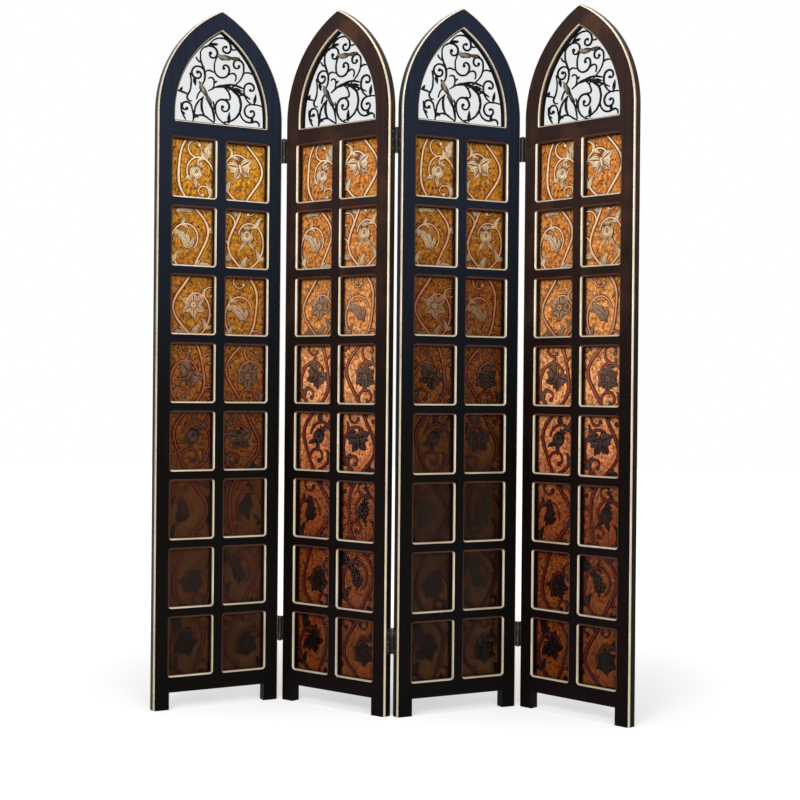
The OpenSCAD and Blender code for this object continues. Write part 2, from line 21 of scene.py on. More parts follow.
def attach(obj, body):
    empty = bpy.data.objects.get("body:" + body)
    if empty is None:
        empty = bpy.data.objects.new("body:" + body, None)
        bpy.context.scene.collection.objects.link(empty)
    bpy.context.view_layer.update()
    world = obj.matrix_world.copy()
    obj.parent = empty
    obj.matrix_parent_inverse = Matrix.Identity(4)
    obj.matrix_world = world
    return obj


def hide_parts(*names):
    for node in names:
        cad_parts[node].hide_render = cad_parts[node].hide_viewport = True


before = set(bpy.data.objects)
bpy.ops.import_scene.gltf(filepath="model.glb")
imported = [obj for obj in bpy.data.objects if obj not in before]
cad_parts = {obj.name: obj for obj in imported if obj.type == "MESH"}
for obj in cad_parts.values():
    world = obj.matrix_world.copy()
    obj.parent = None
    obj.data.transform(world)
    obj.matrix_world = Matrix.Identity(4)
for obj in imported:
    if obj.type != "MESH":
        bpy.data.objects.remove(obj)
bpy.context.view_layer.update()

LOG = logging.getLogger("folding_screen")
MM = 0.001

Point2 = tuple[float, float]
Point3 = tuple[float, float, float]
Colour = tuple[float, float, float]
Stops = tuple[tuple[float, Colour], ...]
Section = list[tuple[float, float, float]]
Names = tuple[str, ...]
Defaults = tuple[tuple[str, float], ...]
Socket = bpy.types.NodeSocket
Sockets = dict[str, Socket]
Value = Socket | float | Colour
WHITE: Colour = (1.0, 1.0, 1.0)


class Facing(Enum):
    """Which way a panel's front is turned, which decides the painted reflection in its lacquer and the sides
    of its lights that get painted shade.
    """

    RIGHT = "right"
    LEFT = "left"


# Sizes


@dataclass(frozen=True)
class PanelSizes:
    """Sizes that all four panels share, in millimetres.

    Args:
        width: Width of a panel.
        stile: Width of a stile.
        light_w: Width of a light between its sight lines.
        light_h: Height of a light.
        mullion: Width of the mullion.
        bar: Height of a glazing bar.
        rows: Number of rows of lights.
        sill: Height of the lowest sight line.
        transom: Height of the transom.
        skirt: Height of the head's light under its arcs.
        arch_radius: Radius of the outer arcs of the head.
        head: Width of the head's pieces.
        lip: Depth from the front face to the rebates.
        glass: Thickness of the glass.
        board: Thickness of the picture board.
        rebate: How far the rebates go beyond the sight lines.
        rim_gilt: Width of the gilding round a light.
        rim_corner: Radius of its outer corners.
        light_corner: Radius of a light's own corners.
        rim_depth: Depth of the moulding round a light.
        edge_gilt: Width of the gilding at the outer edge.
    """

    width: float = 407.0
    stile: float = 49.0
    light_w: float = 136.0
    light_h: float = 174.5
    mullion: float = 37.0
    bar: float = 33.0
    rows: int = 8
    sill: float = 102.0
    transom: float = 53.0
    skirt: float = 24.0
    arch_radius: float = 360.0
    head: float = 56.0
    lip: float = 19.0
    glass: float = 3.0
    board: float = 4.0
    rebate: float = 9.5
    rim_gilt: float = 4.6
    rim_corner: float = 10.5
    light_corner: float = 5.5
    rim_depth: float = 6.7
    edge_gilt: float = 4.4

    @property
    def pitch(self) -> float:
        """Distance from one row of lights to the next."""
        return self.light_h + self.bar

    @property
    def lights_top(self) -> float:
        """Upper sight line of the top row."""
        return self.sill + self.rows * self.light_h + (self.rows - 1) * self.bar

    @property
    def head_sill(self) -> float:
        """Lower sight line of the light in the head."""
        return self.lights_top + self.transom

    @property
    def spring(self) -> float:
        """Height where the arcs of the head start."""
        return self.head_sill + self.skirt

    @property
    def head_middle(self) -> Point2:
        """Middle of the head's lower sight line, which the grille is drawn from."""
        return self.width / 2, self.head_sill

    def light_left(self, column: int) -> float:
        """Left sight line of a column of lights, 0 or 1."""
        return self.stile + column * (self.light_w + self.mullion)


@dataclass(frozen=True)
class PanelPlace:
    """Where one panel stands.

    Args:
        number: Number of the panel, counted from the left.
        turn: Turn about the vertical, in degrees.
        corner: Plan position of the panel's front left corner, in millimetres.
        facing: Side that the front is turned to.
    """

    number: int
    turn: float
    corner: Point2
    facing: Facing

    @property
    def body(self) -> str:
        """Name of the CAD body that the panel's pieces ride on."""
        return f"panel_{self.number}"

    def node(self, piece: str) -> str:
        """Full node name of one of the panel's pieces."""
        return f"{self.body}_{piece}"

    @property
    def hand(self) -> float:
        """1 for a front that is turned to the right, and -1 for one that is turned to the left."""
        return 1.0 if self.facing is Facing.RIGHT else -1.0

    def matrix(self) -> Matrix:
        """Transform from the panel's frame to the frame of the whole screen, in metres."""
        x, y = self.corner
        return Matrix.Translation((x * MM, y * MM, 0.0)) @ Matrix.Rotation(math.radians(self.turn), 4, "Z")


SIZES = PanelSizes()
PLACES = (
    PanelPlace(1, 30.5, (-705.59, -63.16), Facing.RIGHT),
    PanelPlace(2, -34.5, (-346.52, 143.12), Facing.LEFT),
    PanelPlace(3, 28.0, (28.25, -89.64), Facing.RIGHT),
    PanelPlace(4, -41.5, (396.12, 100.43), Facing.LEFT),
)


# Node helpers


def rgba(colour: Colour) -> tuple[float, float, float, float]:
    """A colour with an alpha of 1, as sockets take it."""
    return (*colour, 1.0)


@dataclass
class NodeSheet:
    """Small helper that places and joins nodes in one tree.

    Args:
        tree: Node tree of a material or a group.
        count: How many nodes it has placed.
    """

    tree: bpy.types.NodeTree
    count: int = 0

    def add(self, kind: str, **settings: object) -> bpy.types.Node:
        """Adds a node.

        Args:
            kind: Blender's type name of the node.
            settings: Values for the node's own properties.

        Returns:
            The new node.
        """
        node = self.tree.nodes.new(kind)
        node.location = (180 * (self.count % 12), -220 * (self.count // 12))
        self.count += 1
        for name, value in settings.items():
            setattr(node, name, value)
        return node

    def link(self, source: Socket, target: Socket) -> None:
        """Joins two sockets."""
        self.tree.links.new(source, target)

    def feed(self, socket: Socket, value: Value) -> None:
        """Sets a socket, or joins another one to it.

        Args:
            socket: The input.
            value: A number, a vector, a colour or the socket to join.
        """
        if isinstance(value, Socket):
            self.link(value, socket)
        else:
            socket.default_value = rgba(value) if socket.type == "RGBA" else value

    def fill(self, node: bpy.types.Node, *numbered: tuple[int, Value], **named: Value) -> bpy.types.Node:
        """Feeds several inputs of a node.

        Args:
            node: The node.
            numbered: Numbers of inputs and their values.
            named: Values by the names of the inputs, with underscores for spaces.

        Returns:
            The same node.
        """
        for label, value in (*numbered, *named.items()):
            self.feed(node.inputs[label.replace("_", " ") if isinstance(label, str) else label], value)
        return node

    def math(self, operation: str, *values: Value, clamp: bool = False) -> Socket:
        """A math node with the given operation and inputs, whose result may be held between 0 and 1."""
        node = self.add("ShaderNodeMath", operation=operation, use_clamp=clamp)
        return self.fill(node, *enumerate(values)).outputs[0]

    def plus(self, a: Value, b: Value) -> Socket:
        """The sum of two values."""
        return self.math("ADD", a, b)

    def minus(self, a: Value, b: Value) -> Socket:
        """The first value less the second."""
        return self.math("SUBTRACT", a, b)

    def times(self, a: Value, b: Value) -> Socket:
        """The product of two values."""
        return self.math("MULTIPLY", a, b)

    def larger(self, a: Value, b: Value) -> Socket:
        """The larger of two values."""
        return self.math("MAXIMUM", a, b)

    def hypot(self, a: Value, b: Value) -> Socket:
        """Length of the diagonal over two sides."""
        return self.math("SQRT", self.plus(self.math("POWER", a, 2.0), self.math("POWER", b, 2.0)))

    def parts(self, vector: Value) -> list[Socket]:
        """The X, Y and Z of a vector."""
        return list(self.fill(self.add("ShaderNodeSeparateXYZ"), Vector=vector).outputs)

    def ramp_step(self, value: Value, low: float, high: float) -> Socket:
        """A smooth step of a value from 0 at low to 1 at high, where high may be the smaller."""
        node = self.add("ShaderNodeMapRange", interpolation_type="SMOOTHSTEP", clamp=True)
        return self.fill(node, Value=value, From_Min=low, From_Max=high).outputs["Result"]

    def mix(self, factor: Value, a: Value, b: Value, way: str = "MIX") -> Socket:
        """Mixes two colours by the share of the second, in the way that Blender calls so."""
        node = self.add("ShaderNodeMix", data_type="RGBA", blend_type=way)
        return self.fill(node, (0, factor), (6, a), (7, b)).outputs[2]

    def tint(self, a: Value, b: Value) -> Socket:
        """Multiplies two colours."""
        return self.mix(1.0, a, b, "MULTIPLY")

    def blend(self, factor: Value, a: Value, b: Value) -> Socket:
        """Mixes two numbers by the share of the second."""
        node = self.add("ShaderNodeMix", data_type="FLOAT")
        return self.fill(node, (0, factor), (2, a), (3, b)).outputs[0]

    def noise(self, vector: Value, scale: float, detail: float, rough: float) -> Socket:
        """A noise texture, with its scale per metre and the number and strength of its finer layers."""
        node = self.add("ShaderNodeTexNoise")
        return self.fill(node, Vector=vector, Scale=scale, Detail=detail, Roughness=rough).outputs["Fac"]

    def mapped(self, vector: Value, kind: str = "POINT", **values: Value) -> Socket:
        """A vector moved, turned or scaled by the Location, Rotation and Scale of a mapping node."""
        node = self.add("ShaderNodeMapping", vector_type=kind)
        return self.fill(node, Vector=vector, **values).outputs["Vector"]

    def ramp(self, factor: Value, stops: Stops) -> Socket:
        """A colour ramp.

        Args:
            factor: Socket that picks the colour.
            stops: Positions and colours, from low to high.

        Returns:
            The ramp's colour output.
        """
        node = self.add("ShaderNodeValToRGB")
        self.feed(node.inputs["Fac"], factor)
        elements = node.color_ramp.elements
        while len(elements) < len(stops):
            elements.new(0.5)
        for element, (position, colour) in zip(elements, stops):
            element.position = position
            element.color = rgba(colour)
        return node.outputs["Color"]

    def bump(self, height: Value, strength: float, distance: float) -> Socket:
        """The normal of bumps, where distance is what a height of 1 stands for, in metres."""
        node = self.add("ShaderNodeBump")
        return self.fill(node, Height=height, Strength=strength, Distance=distance).outputs["Normal"]

    def principled(self, **values: Value) -> Socket:
        """The surface of a Principled BSDF node with the given inputs."""
        return self.fill(self.add("ShaderNodeBsdfPrincipled"), **values).outputs[0]


@dataclass(frozen=True)
class EffectGroup:
    """Base of the shader node groups that the materials share.

    Args:
        name: Name of the group.
        vector: Name of its vector input.
        numbers: Names and first values of its other inputs.
        masks: Names of its outputs, which are numbers.
    """

    name: str
    vector: str
    numbers: Defaults
    masks: Names

    def tree(self) -> bpy.types.NodeTree:
        """The group's tree, built the first time that it is asked for.

        Returns:
            The tree.
        """
        if self.name in bpy.data.node_groups:
            return bpy.data.node_groups[self.name]
        tree = bpy.data.node_groups.new(self.name, "ShaderNodeTree")
        tree.interface.new_socket(self.vector, in_out="INPUT", socket_type="NodeSocketVector")
        for label, value in self.numbers:
            socket = tree.interface.new_socket(label, in_out="INPUT", socket_type="NodeSocketFloat")
            socket.default_value = value
        for label in self.masks:
            tree.interface.new_socket(label, in_out="OUTPUT", socket_type="NodeSocketFloat")
        sheet = NodeSheet(tree)
        source = sheet.add("NodeGroupInput")
        target = sheet.add("NodeGroupOutput")
        sheet.fill(target, **self.draw(sheet, {socket.name: socket for socket in source.outputs}))
        return tree

    def draw(self, sheet: NodeSheet, given: Sockets) -> Sockets:
        """Draws the inside of the group. Each effect has its own.

        Args:
            sheet: Sheet of the group's tree.
            given: The group's inputs by their names.

        Returns:
            What its outputs give, by their names.
        """
        raise NotImplementedError

    def place(self, sheet: NodeSheet, **values: Value) -> Sockets:
        """Places the group in a material.

        Args:
            sheet: The material's sheet.
            values: Values for its inputs.

        Returns:
            The outputs of the group node by their names.
        """
        node = sheet.fill(sheet.add("ShaderNodeGroup", node_tree=self.tree()), **values)
        return {socket.name: socket for socket in node.outputs}


@dataclass(frozen=True)
class Gilding(EffectGroup):
    """Masks of the gilt mouldings, of the painted shade on some of their sides and of the painted shadow in
    the recess behind them, in a panel's own frame.

    Args:
        head_scale: How much more a distance counts in the head, where the gilding is narrower.
        rim_back: How deep the gilding of the sight lines goes, in millimetres.
        edge_back: How deep that of the outer edge goes.
        soft_in: Width of the gilding's soft edge inside its line.
        soft_out: Its width outside the line.
        jamb_shade: Width of the painted shadow beside a light's jamb.
        top_shade: Width of the painted shadow under the bar above.
        shade_past: How far beyond the sight line a band is darkest.
    """

    name: str = "gilt_mouldings"
    vector: str = "Place"
    numbers: Defaults = (("Wear", 0.3), ("Hand", 1.0))
    masks: Names = ("Gilt", "Bole", "Recess")
    head_scale: float = 1.35
    rim_back: float = 6.9
    edge_back: float = 7.8
    soft_in: float = 0.4
    soft_out: float = 0.2
    jamb_shade: float = 8.0
    top_shade: float = 7.0
    shade_past: float = 1.0

    def draw(self, sheet: NodeSheet, given: Sockets) -> Sockets:
        """Measures how far the place lies from each sight line and from the outer edge.

        Args:
            sheet: Sheet of the group's tree.
            given: The place, the wear and the side that the panel's front is turned to.

        Returns:
            The three masks.
        """
        sizes = SIZES
        half_width, half_height = sizes.light_w / 2, sizes.light_h / 2
        x, y, z = sheet.parts(given["Place"])
        side = sheet.minus(x, sizes.width / 2 * MM)
        middle = sheet.math("ABSOLUTE", side)
        # Lights: distance beyond the sight lines of the nearest one
        off = sheet.minus(middle, (sizes.light_w + sizes.mullion) / 2 * MM)
        past_upright = sheet.minus(sheet.math("ABSOLUTE", off), half_width * MM)
        up = sheet.minus(z, (sizes.sill + half_height) * MM)
        row = sheet.math("ROUND", sheet.math("DIVIDE", up, sizes.pitch * MM))
        row = sheet.math("MINIMUM", sheet.larger(row, 0.0), float(sizes.rows - 1))
        rise = sheet.minus(up, sheet.times(row, sizes.pitch * MM))
        past_level = sheet.minus(sheet.math("ABSOLUTE", rise), half_height * MM)
        light = self.corner_distance(sheet, past_upright, past_level, sizes.rim_corner - sizes.rim_gilt)
        # Head: distance to the pointed light, and from the outer edge inwards
        above = sheet.larger(sheet.minus(z, sizes.spring * MM), 0.0)
        reach = sheet.hypot(sheet.plus(middle, (sizes.arch_radius - sizes.width / 2) * MM), above)
        past_arc = sheet.minus(reach, (sizes.arch_radius - sizes.head) * MM)
        past_sill = sheet.minus(sizes.head_sill * MM, z)
        head = sheet.times(self.corner_distance(sheet, past_arc, past_sill, 0.0), self.head_scale)
        outer = sheet.minus(sizes.arch_radius * MM, reach)
        near = self.within(sheet, sheet.math("MINIMUM", light, head), sizes.rim_gilt)
        rim = sheet.times(near, self.within(sheet, y, self.rim_back))
        edge = sheet.times(self.within(sheet, outer, sizes.edge_gilt), self.within(sheet, y, self.edge_back))
        fleck = sheet.noise(given["Place"], 210.0, detail=4.0, rough=0.65)
        keep = sheet.blend(given["Wear"], 1.0, sheet.ramp_step(fleck, 0.34, 0.44))
        # Painted shade on the gilding of the upper sides of the lights and of the sides turned away
        level = sheet.math("GREATER_THAN", past_level, past_upright)
        upper = sheet.times(level, sheet.math("GREATER_THAN", rise, 0.0))
        hand = sheet.times(sheet.times(off, sheet.math("SIGN", side)), given["Hand"])
        away = sheet.times(sheet.minus(1.0, level), sheet.math("LESS_THAN", hand, 0.0))
        bole = sheet.times(sheet.larger(upper, away), sheet.math("LESS_THAN", light, head))
        # Painted shadow of the recess, along the jamb that shows its depth and under the bar above
        beyond = self.shade_past
        jamb = sheet.ramp_step(hand, (half_width - self.jamb_shade) * MM, (half_width + beyond) * MM)
        under = sheet.ramp_step(rise, (half_height - self.top_shade) * MM, (half_height + beyond) * MM)
        return {
            "Gilt": sheet.times(sheet.larger(rim, edge), keep),
            "Bole": sheet.times(bole, rim),
            "Recess": sheet.larger(jamb, under),
        }

    def within(self, sheet: NodeSheet, value: Value, limit: float) -> Socket:
        """1 where a distance is under a limit in millimetres, with a soft edge."""
        low, high = limit - self.soft_in, limit + self.soft_out
        return sheet.minus(1.0, sheet.ramp_step(value, low * MM, high * MM))

    @staticmethod
    def corner_distance(sheet: NodeSheet, a: Value, b: Value, inset: float) -> Socket:
        """Distance from an opening with rounded corners.

        Args:
            sheet: The group's sheet.
            a: Distance from its upright sides.
            b: Distance from its level sides.
            inset: How far inside the opening the corners' rounding starts, in millimetres.

        Returns:
            The distance, negative or 0 inside.
        """
        a, b = (sheet.larger(sheet.plus(side, inset * MM), 0.0) for side in (a, b))
        return sheet.minus(sheet.hypot(a, b), inset * MM)


@dataclass(frozen=True)
class WoodGrain(EffectGroup):
    """Fine grain under the lacquer, with streaks that run along Z of the given vector."""

    name: str = "wood_grain"
    vector: str = "Vector"
    numbers: Defaults = ()
    masks: Names = ("Grain", "Cloud")

    def draw(self, sheet: NodeSheet, given: Sockets) -> Sockets:
        """Mixes long streaks with fine pores.

        Args:
            sheet: Sheet of the group's tree.
            given: The place on the wood.

        Returns:
            The grain and the slow change of its tone.
        """
        base = given["Vector"]
        streak = sheet.noise(sheet.mapped(base, Scale=(90.0, 90.0, 2.2)), 1.0, detail=5.0, rough=0.6)
        pore = sheet.noise(sheet.mapped(base, Scale=(900.0, 900.0, 24.0)), 1.0, detail=2.0, rough=0.5)
        cloud = sheet.noise(base, 7.0, detail=3.0, rough=0.5)
        return {"Grain": sheet.blend(0.35, streak, pore), "Cloud": cloud}


@dataclass(frozen=True)
class Stipple(EffectGroup):
    """Punched ground of the embossed pictures, with the mottling of its old varnish."""

    name: str = "stippled_ground"
    vector: str = "Vector"
    numbers: Defaults = (("Scale", 230.0),)
    masks: Names = ("Pits", "Mottle", "Drift", "Flecks")

    def draw(self, sheet: NodeSheet, given: Sockets) -> Sockets:
        """Draws cells for the pits, noise at two sizes for the colour, and short dark flecks.

        Args:
            sheet: Sheet of the group's tree.
            given: The place on the board, and how many pits there are to a metre.

        Returns:
            The four masks.
        """
        base = given["Vector"]
        voronoi = sheet.add("ShaderNodeTexVoronoi", feature="F1")
        cells = sheet.fill(voronoi, Vector=base, Scale=given["Scale"])
        drawn_up = sheet.mapped(base, Scale=(1.0, 1.0, 0.45))
        return {
            "Pits": sheet.ramp_step(cells.outputs["Distance"], 0.1, 0.7),
            "Mottle": sheet.noise(base, 105.0, detail=4.0, rough=0.7),
            "Drift": sheet.noise(base, 11.0, detail=3.0, rough=0.55),
            "Flecks": sheet.ramp_step(sheet.noise(drawn_up, 210.0, detail=2.0, rough=0.5), 0.42, 0.35),
        }


@dataclass(frozen=True)
class MetalWear(EffectGroup):
    """Rubbed patches and fine unevenness of cast or blackened metal."""

    name: str = "rubbed_metal"
    vector: str = "Vector"
    numbers: Defaults = (("Amount", 0.3),)
    masks: Names = ("Rubbed", "Skin")

    def draw(self, sheet: NodeSheet, given: Sockets) -> Sockets:
        """Picks patches out of a cloud, and gives a fine skin for bump and roughness.

        Args:
            sheet: Sheet of the group's tree.
            given: The place on the metal, and how much of it is rubbed.

        Returns:
            The two masks.
        """
        patches = sheet.ramp_step(sheet.noise(given["Vector"], 55.0, detail=5.0, rough=0.65), 0.52, 0.72)
        skin = sheet.noise(given["Vector"], 620.0, detail=3.0, rough=0.6)
        return {"Rubbed": sheet.times(patches, given["Amount"]), "Skin": skin}


GILDING = Gilding()
WOOD_GRAIN = WoodGrain()
STIPPLE = Stipple()
METAL_WEAR = MetalWear()


# Finishes


@dataclass(frozen=True)
class Finish:
    """Base of the finishes.

    Args:
        name: Name of the material.
    """

    name: str

    def build(self) -> bpy.types.Material:
        """Builds the material.

        Returns:
            The new material.
        """
        material = bpy.data.materials.new(self.name)
        material.use_nodes = True
        material.node_tree.nodes.clear()
        sheet = NodeSheet(material.node_tree)
        output = sheet.add("ShaderNodeOutputMaterial")
        sheet.link(self.surface(sheet), output.inputs["Surface"])
        return material

    def surface(self, sheet: NodeSheet) -> Socket:
        """Draws the shader on the material's sheet. Each finish has its own."""
        raise NotImplementedError

    @staticmethod
    def own_place(sheet: NodeSheet) -> Socket:
        """Place on the object, in the object's own frame."""
        return sheet.add("ShaderNodeTexCoord").outputs["Object"]

    @staticmethod
    def share_of_height(sheet: NodeSheet) -> Socket:
        """How high a point of a relief lies, as a share of the height of its form."""
        return sheet.add("ShaderNodeAttribute", attribute_name="rise").outputs["Fac"]


@dataclass(frozen=True)
class GiltLacquer(Finish):
    """Dark satin lacquer with gilt mouldings.

    Args:
        place: The panel that it is on.
        low: Colour near the floor, where the painted reflection is darkest.
        high: Colour at the head, with the painted reflection of the surroundings there.
        painted_sheen: Colour of patches of painted brownish sheen at the head. None is for no such patches.
        local: Whether it is for a piece that is modelled in the panel's own frame.
        along_x: Whether the grain runs level, as it does in rails.
        gilt: Colour of the gilding.
        bole: Colour of the painted shade on the gilding's upper and turned-away sides.
        wear: Share of the gilding's wear that shows.
    """

    place: PanelPlace
    low: Colour
    high: Colour
    painted_sheen: Colour | None = None
    local: bool = False
    along_x: bool = False
    gilt: Colour = (0.68, 0.60, 0.46)
    bole: Colour = (0.13, 0.042, 0.024)
    wear: float = 0.45

    def panel_place(self, sheet: NodeSheet) -> Socket:
        """Place in the panel's frame, for a CAD node whose own frame is the screen's."""
        corner, turn = [v * MM for v in (*self.place.corner, 0.0)], (0.0, 0.0, math.radians(self.place.turn))
        return sheet.mapped(self.own_place(sheet), "TEXTURE", Location=corner, Rotation=turn)

    def surface(self, sheet: NodeSheet) -> Socket:
        """Lays lacquer with a painted reflection over the grain, and gold with painted shade on the
        mouldings.

        Args:
            sheet: The material's sheet.

        Returns:
            The material's surface.
        """
        place = self.own_place(sheet) if self.local else self.panel_place(sheet)
        masks = GILDING.place(sheet, Place=place, Wear=self.wear, Hand=self.place.hand)
        run = sheet.mapped(place, Rotation=(0.0, math.pi / 2, 0.0)) if self.along_x else place
        wood = WOOD_GRAIN.place(sheet, Vector=run)
        grain, cloud, gilt, bole = wood["Grain"], wood["Cloud"], masks["Gilt"], masks["Bole"]
        # Painted reflection: from the low colour near the floor to the high colour at the head, with patches
        # of painted sheen there
        high = self.high
        if self.painted_sheen is not None:
            high = sheet.mix(sheet.times(sheet.ramp_step(cloud, 0.48, 0.72), 0.6), self.high, self.painted_sheen)
        tone = sheet.mix(sheet.ramp_step(sheet.parts(place)[2], 0.7, 2.05), self.low, high)
        dark = sheet.tint(tone, sheet.ramp(grain, ((0.3, (0.62, 0.6, 0.58)), (0.7, (1.3, 1.3, 1.3)))))
        aged = sheet.ramp(cloud, ((0.3, (0.72, 0.66, 0.58)), (0.7, WHITE)))
        # Painted shade on the gilding's upper and turned-away sides, which also get less metal
        gold = sheet.tint(sheet.mix(bole, self.gilt, self.bole), aged)
        shine = sheet.math("SUBTRACT", gilt, bole, clamp=True)
        return sheet.principled(
            Base_Color=sheet.mix(gilt, dark, gold),
            Metallic=sheet.times(shine, 0.35),
            Roughness=sheet.blend(gilt, sheet.blend(grain, 0.24, 0.38), 0.36),
            Normal=sheet.bump(grain, strength=0.10, distance=0.0006),
            Specular_IOR_Level=0.032,
        )


@dataclass(frozen=True)
class PlainLacquer(Finish):
    """Lacquer without gilding, for the beads and the backs of the boards.

    Args:
        colour: Its colour.
    """

    colour: Colour = (0.016, 0.011, 0.010)

    def surface(self, sheet: NodeSheet) -> Socket:
        """Lays lacquer over the grain.

        Args:
            sheet: The material's sheet.

        Returns:
            The material's surface.
        """
        wood = WOOD_GRAIN.place(sheet, Vector=self.own_place(sheet))
        shade = sheet.ramp(wood["Grain"], ((0.3, (0.6, 0.6, 0.6)), (0.7, (1.35, 1.3, 1.25))))
        return sheet.principled(
            Base_Color=sheet.tint(self.colour, shade),
            Roughness=sheet.blend(wood["Cloud"], 0.34, 0.5),
            Normal=sheet.bump(wood["Grain"], strength=0.15, distance=0.0006),
            Specular_IOR_Level=0.07,
        )


@dataclass(frozen=True)
class ClearGlass(Finish):
    """Clear sheet glass that lets the lamps reach what lies behind it.

    Args:
        tint: Colour of the glass in the heads.
        clear: Colour of the glass before the pictures.
        ior: Its index of refraction.
        head_from: How far under the head's sight line the tint starts, in millimetres.
        head_full: How far under it the tint is whole.
    """

    tint: Colour = (0.77, 0.785, 0.79)
    clear: Colour = (0.985, 0.99, 0.985)
    ior: float = 1.1
    head_from: float = 20.0
    head_full: float = 15.0

    def surface(self, sheet: NodeSheet) -> Socket:
        """Makes slightly wavy and hazy glass, which shadow rays and scattered light pass straight.

        Args:
            sheet: The material's sheet.

        Returns:
            The material's surface.
        """
        place = self.own_place(sheet)
        haze = sheet.noise(place, 9.0, detail=4.0, rough=0.6)
        wave = sheet.noise(place, 3.2, detail=2.0, rough=0.4)
        low, high = SIZES.head_sill - self.head_from, SIZES.head_sill - self.head_full
        in_head = sheet.ramp_step(sheet.parts(place)[2], low * MM, high * MM)
        milky = sheet.mix(sheet.ramp_step(haze, 0.3, 0.7), self.tint, tuple(v * 1.06 for v in self.tint))
        glass = sheet.principled(
            Base_Color=sheet.mix(in_head, self.clear, milky),
            Metallic=0.0,
            Transmission_Weight=1.0,
            IOR=self.ior,
            Roughness=sheet.blend(sheet.ramp_step(haze, 0.4, 0.8), 0.0, 0.02),
            Normal=sheet.bump(wave, strength=0.12, distance=0.004),
        )
        paths = sheet.add("ShaderNodeLightPath").outputs
        passed = sheet.larger(paths["Is Shadow Ray"], paths["Is Diffuse Ray"])
        straight = sheet.fill(sheet.add("ShaderNodeBsdfTransparent"), Color=self.clear).outputs[0]
        return sheet.fill(sheet.add("ShaderNodeMixShader"), (0, passed), (1, glass), (2, straight)).outputs[0]


@dataclass(frozen=True)
class PictureTone:
    """Colours of a picture, which grow darker towards the foot.

    Args:
        ground: Stops of the ground colour, from the foot up.
        stem: Stops of the stems' crests.
        figure: Stops of the crests of leaves, flowers, fruits and butterflies.
    """

    ground: Stops
    stem: Stops
    figure: Stops


GOLDEN = PictureTone(
    ground=(
        (0.0, (0.050, 0.018, 0.006)),
        (0.31, (0.072, 0.023, 0.006)),
        (0.44, (0.125, 0.036, 0.008)),
        (0.56, (0.23, 0.076, 0.014)),
        (0.70, (0.40, 0.150, 0.020)),
        (1.0, (0.62, 0.275, 0.028)),
    ),
    stem=(
        (0.0, (0.040, 0.009, 0.005)),
        (0.44, (0.13, 0.024, 0.013)),
        (0.58, (0.36, 0.100, 0.045)),
        (0.72, (0.80, 0.46, 0.22)),
        (1.0, (0.98, 0.76, 0.46)),
    ),
    figure=(
        (0.0, (0.008, 0.005, 0.004)),
        (0.40, (0.026, 0.016, 0.012)),
        (0.58, (0.20, 0.115, 0.070)),
        (0.70, (0.66, 0.47, 0.28)),
        (1.0, (0.95, 0.78, 0.50)),
    ),
)
DUSKY = PictureTone(
    ground=(
        (0.0, (0.054, 0.020, 0.006)),
        (0.31, (0.030, 0.011, 0.0035)),
        (0.44, (0.072, 0.022, 0.005)),
        (0.56, (0.130, 0.036, 0.008)),
        (0.70, (0.175, 0.050, 0.010)),
        (0.82, (0.33, 0.120, 0.016)),
        (1.0, (0.50, 0.205, 0.024)),
    ),
    stem=(
        (0.0, (0.030, 0.007, 0.004)),
        (0.31, (0.014, 0.004, 0.003)),
        (0.56, (0.10, 0.018, 0.010)),
        (0.72, (0.40, 0.150, 0.070)),
        (1.0, (0.86, 0.56, 0.30)),
    ),
    figure=(
        (0.0, (0.006, 0.004, 0.003)),
        (0.56, (0.028, 0.017, 0.013)),
        (0.70, (0.30, 0.175, 0.095)),
        (0.84, (0.64, 0.46, 0.27)),
        (1.0, (0.84, 0.68, 0.44)),
    ),
)
AMBER = PictureTone(
    ground=(
        (0.0, (0.160, 0.038, 0.008)),
        (0.31, (0.215, 0.050, 0.014)),
        (0.42, (0.58, 0.190, 0.075)),
        (0.56, (0.86, 0.380, 0.165)),
        (0.68, (0.68, 0.270, 0.085)),
        (1.0, (0.62, 0.225, 0.044)),
    ),
    stem=(
        (0.0, (0.060, 0.010, 0.007)),
        (0.44, (0.14, 0.022, 0.017)),
        (0.60, (0.36, 0.095, 0.055)),
        (0.74, (0.84, 0.50, 0.28)),
        (1.0, (0.98, 0.76, 0.50)),
    ),
    figure=(
        (0.0, (0.010, 0.006, 0.005)),
        (0.36, (0.024, 0.014, 0.013)),
        (0.52, (0.085, 0.054, 0.053)),
        (0.66, (0.30, 0.185, 0.125)),
        (0.76, (0.74, 0.53, 0.32)),
        (1.0, (0.92, 0.76, 0.54)),
    ),
)
# Panels turned left get AMBER, more orange and brighter than the GOLDEN and DUSKY of panels turned right, as
# painted light for how their fronts catch the light
PICTURE_TONES = {1: GOLDEN, 2: AMBER, 3: DUSKY, 4: AMBER}


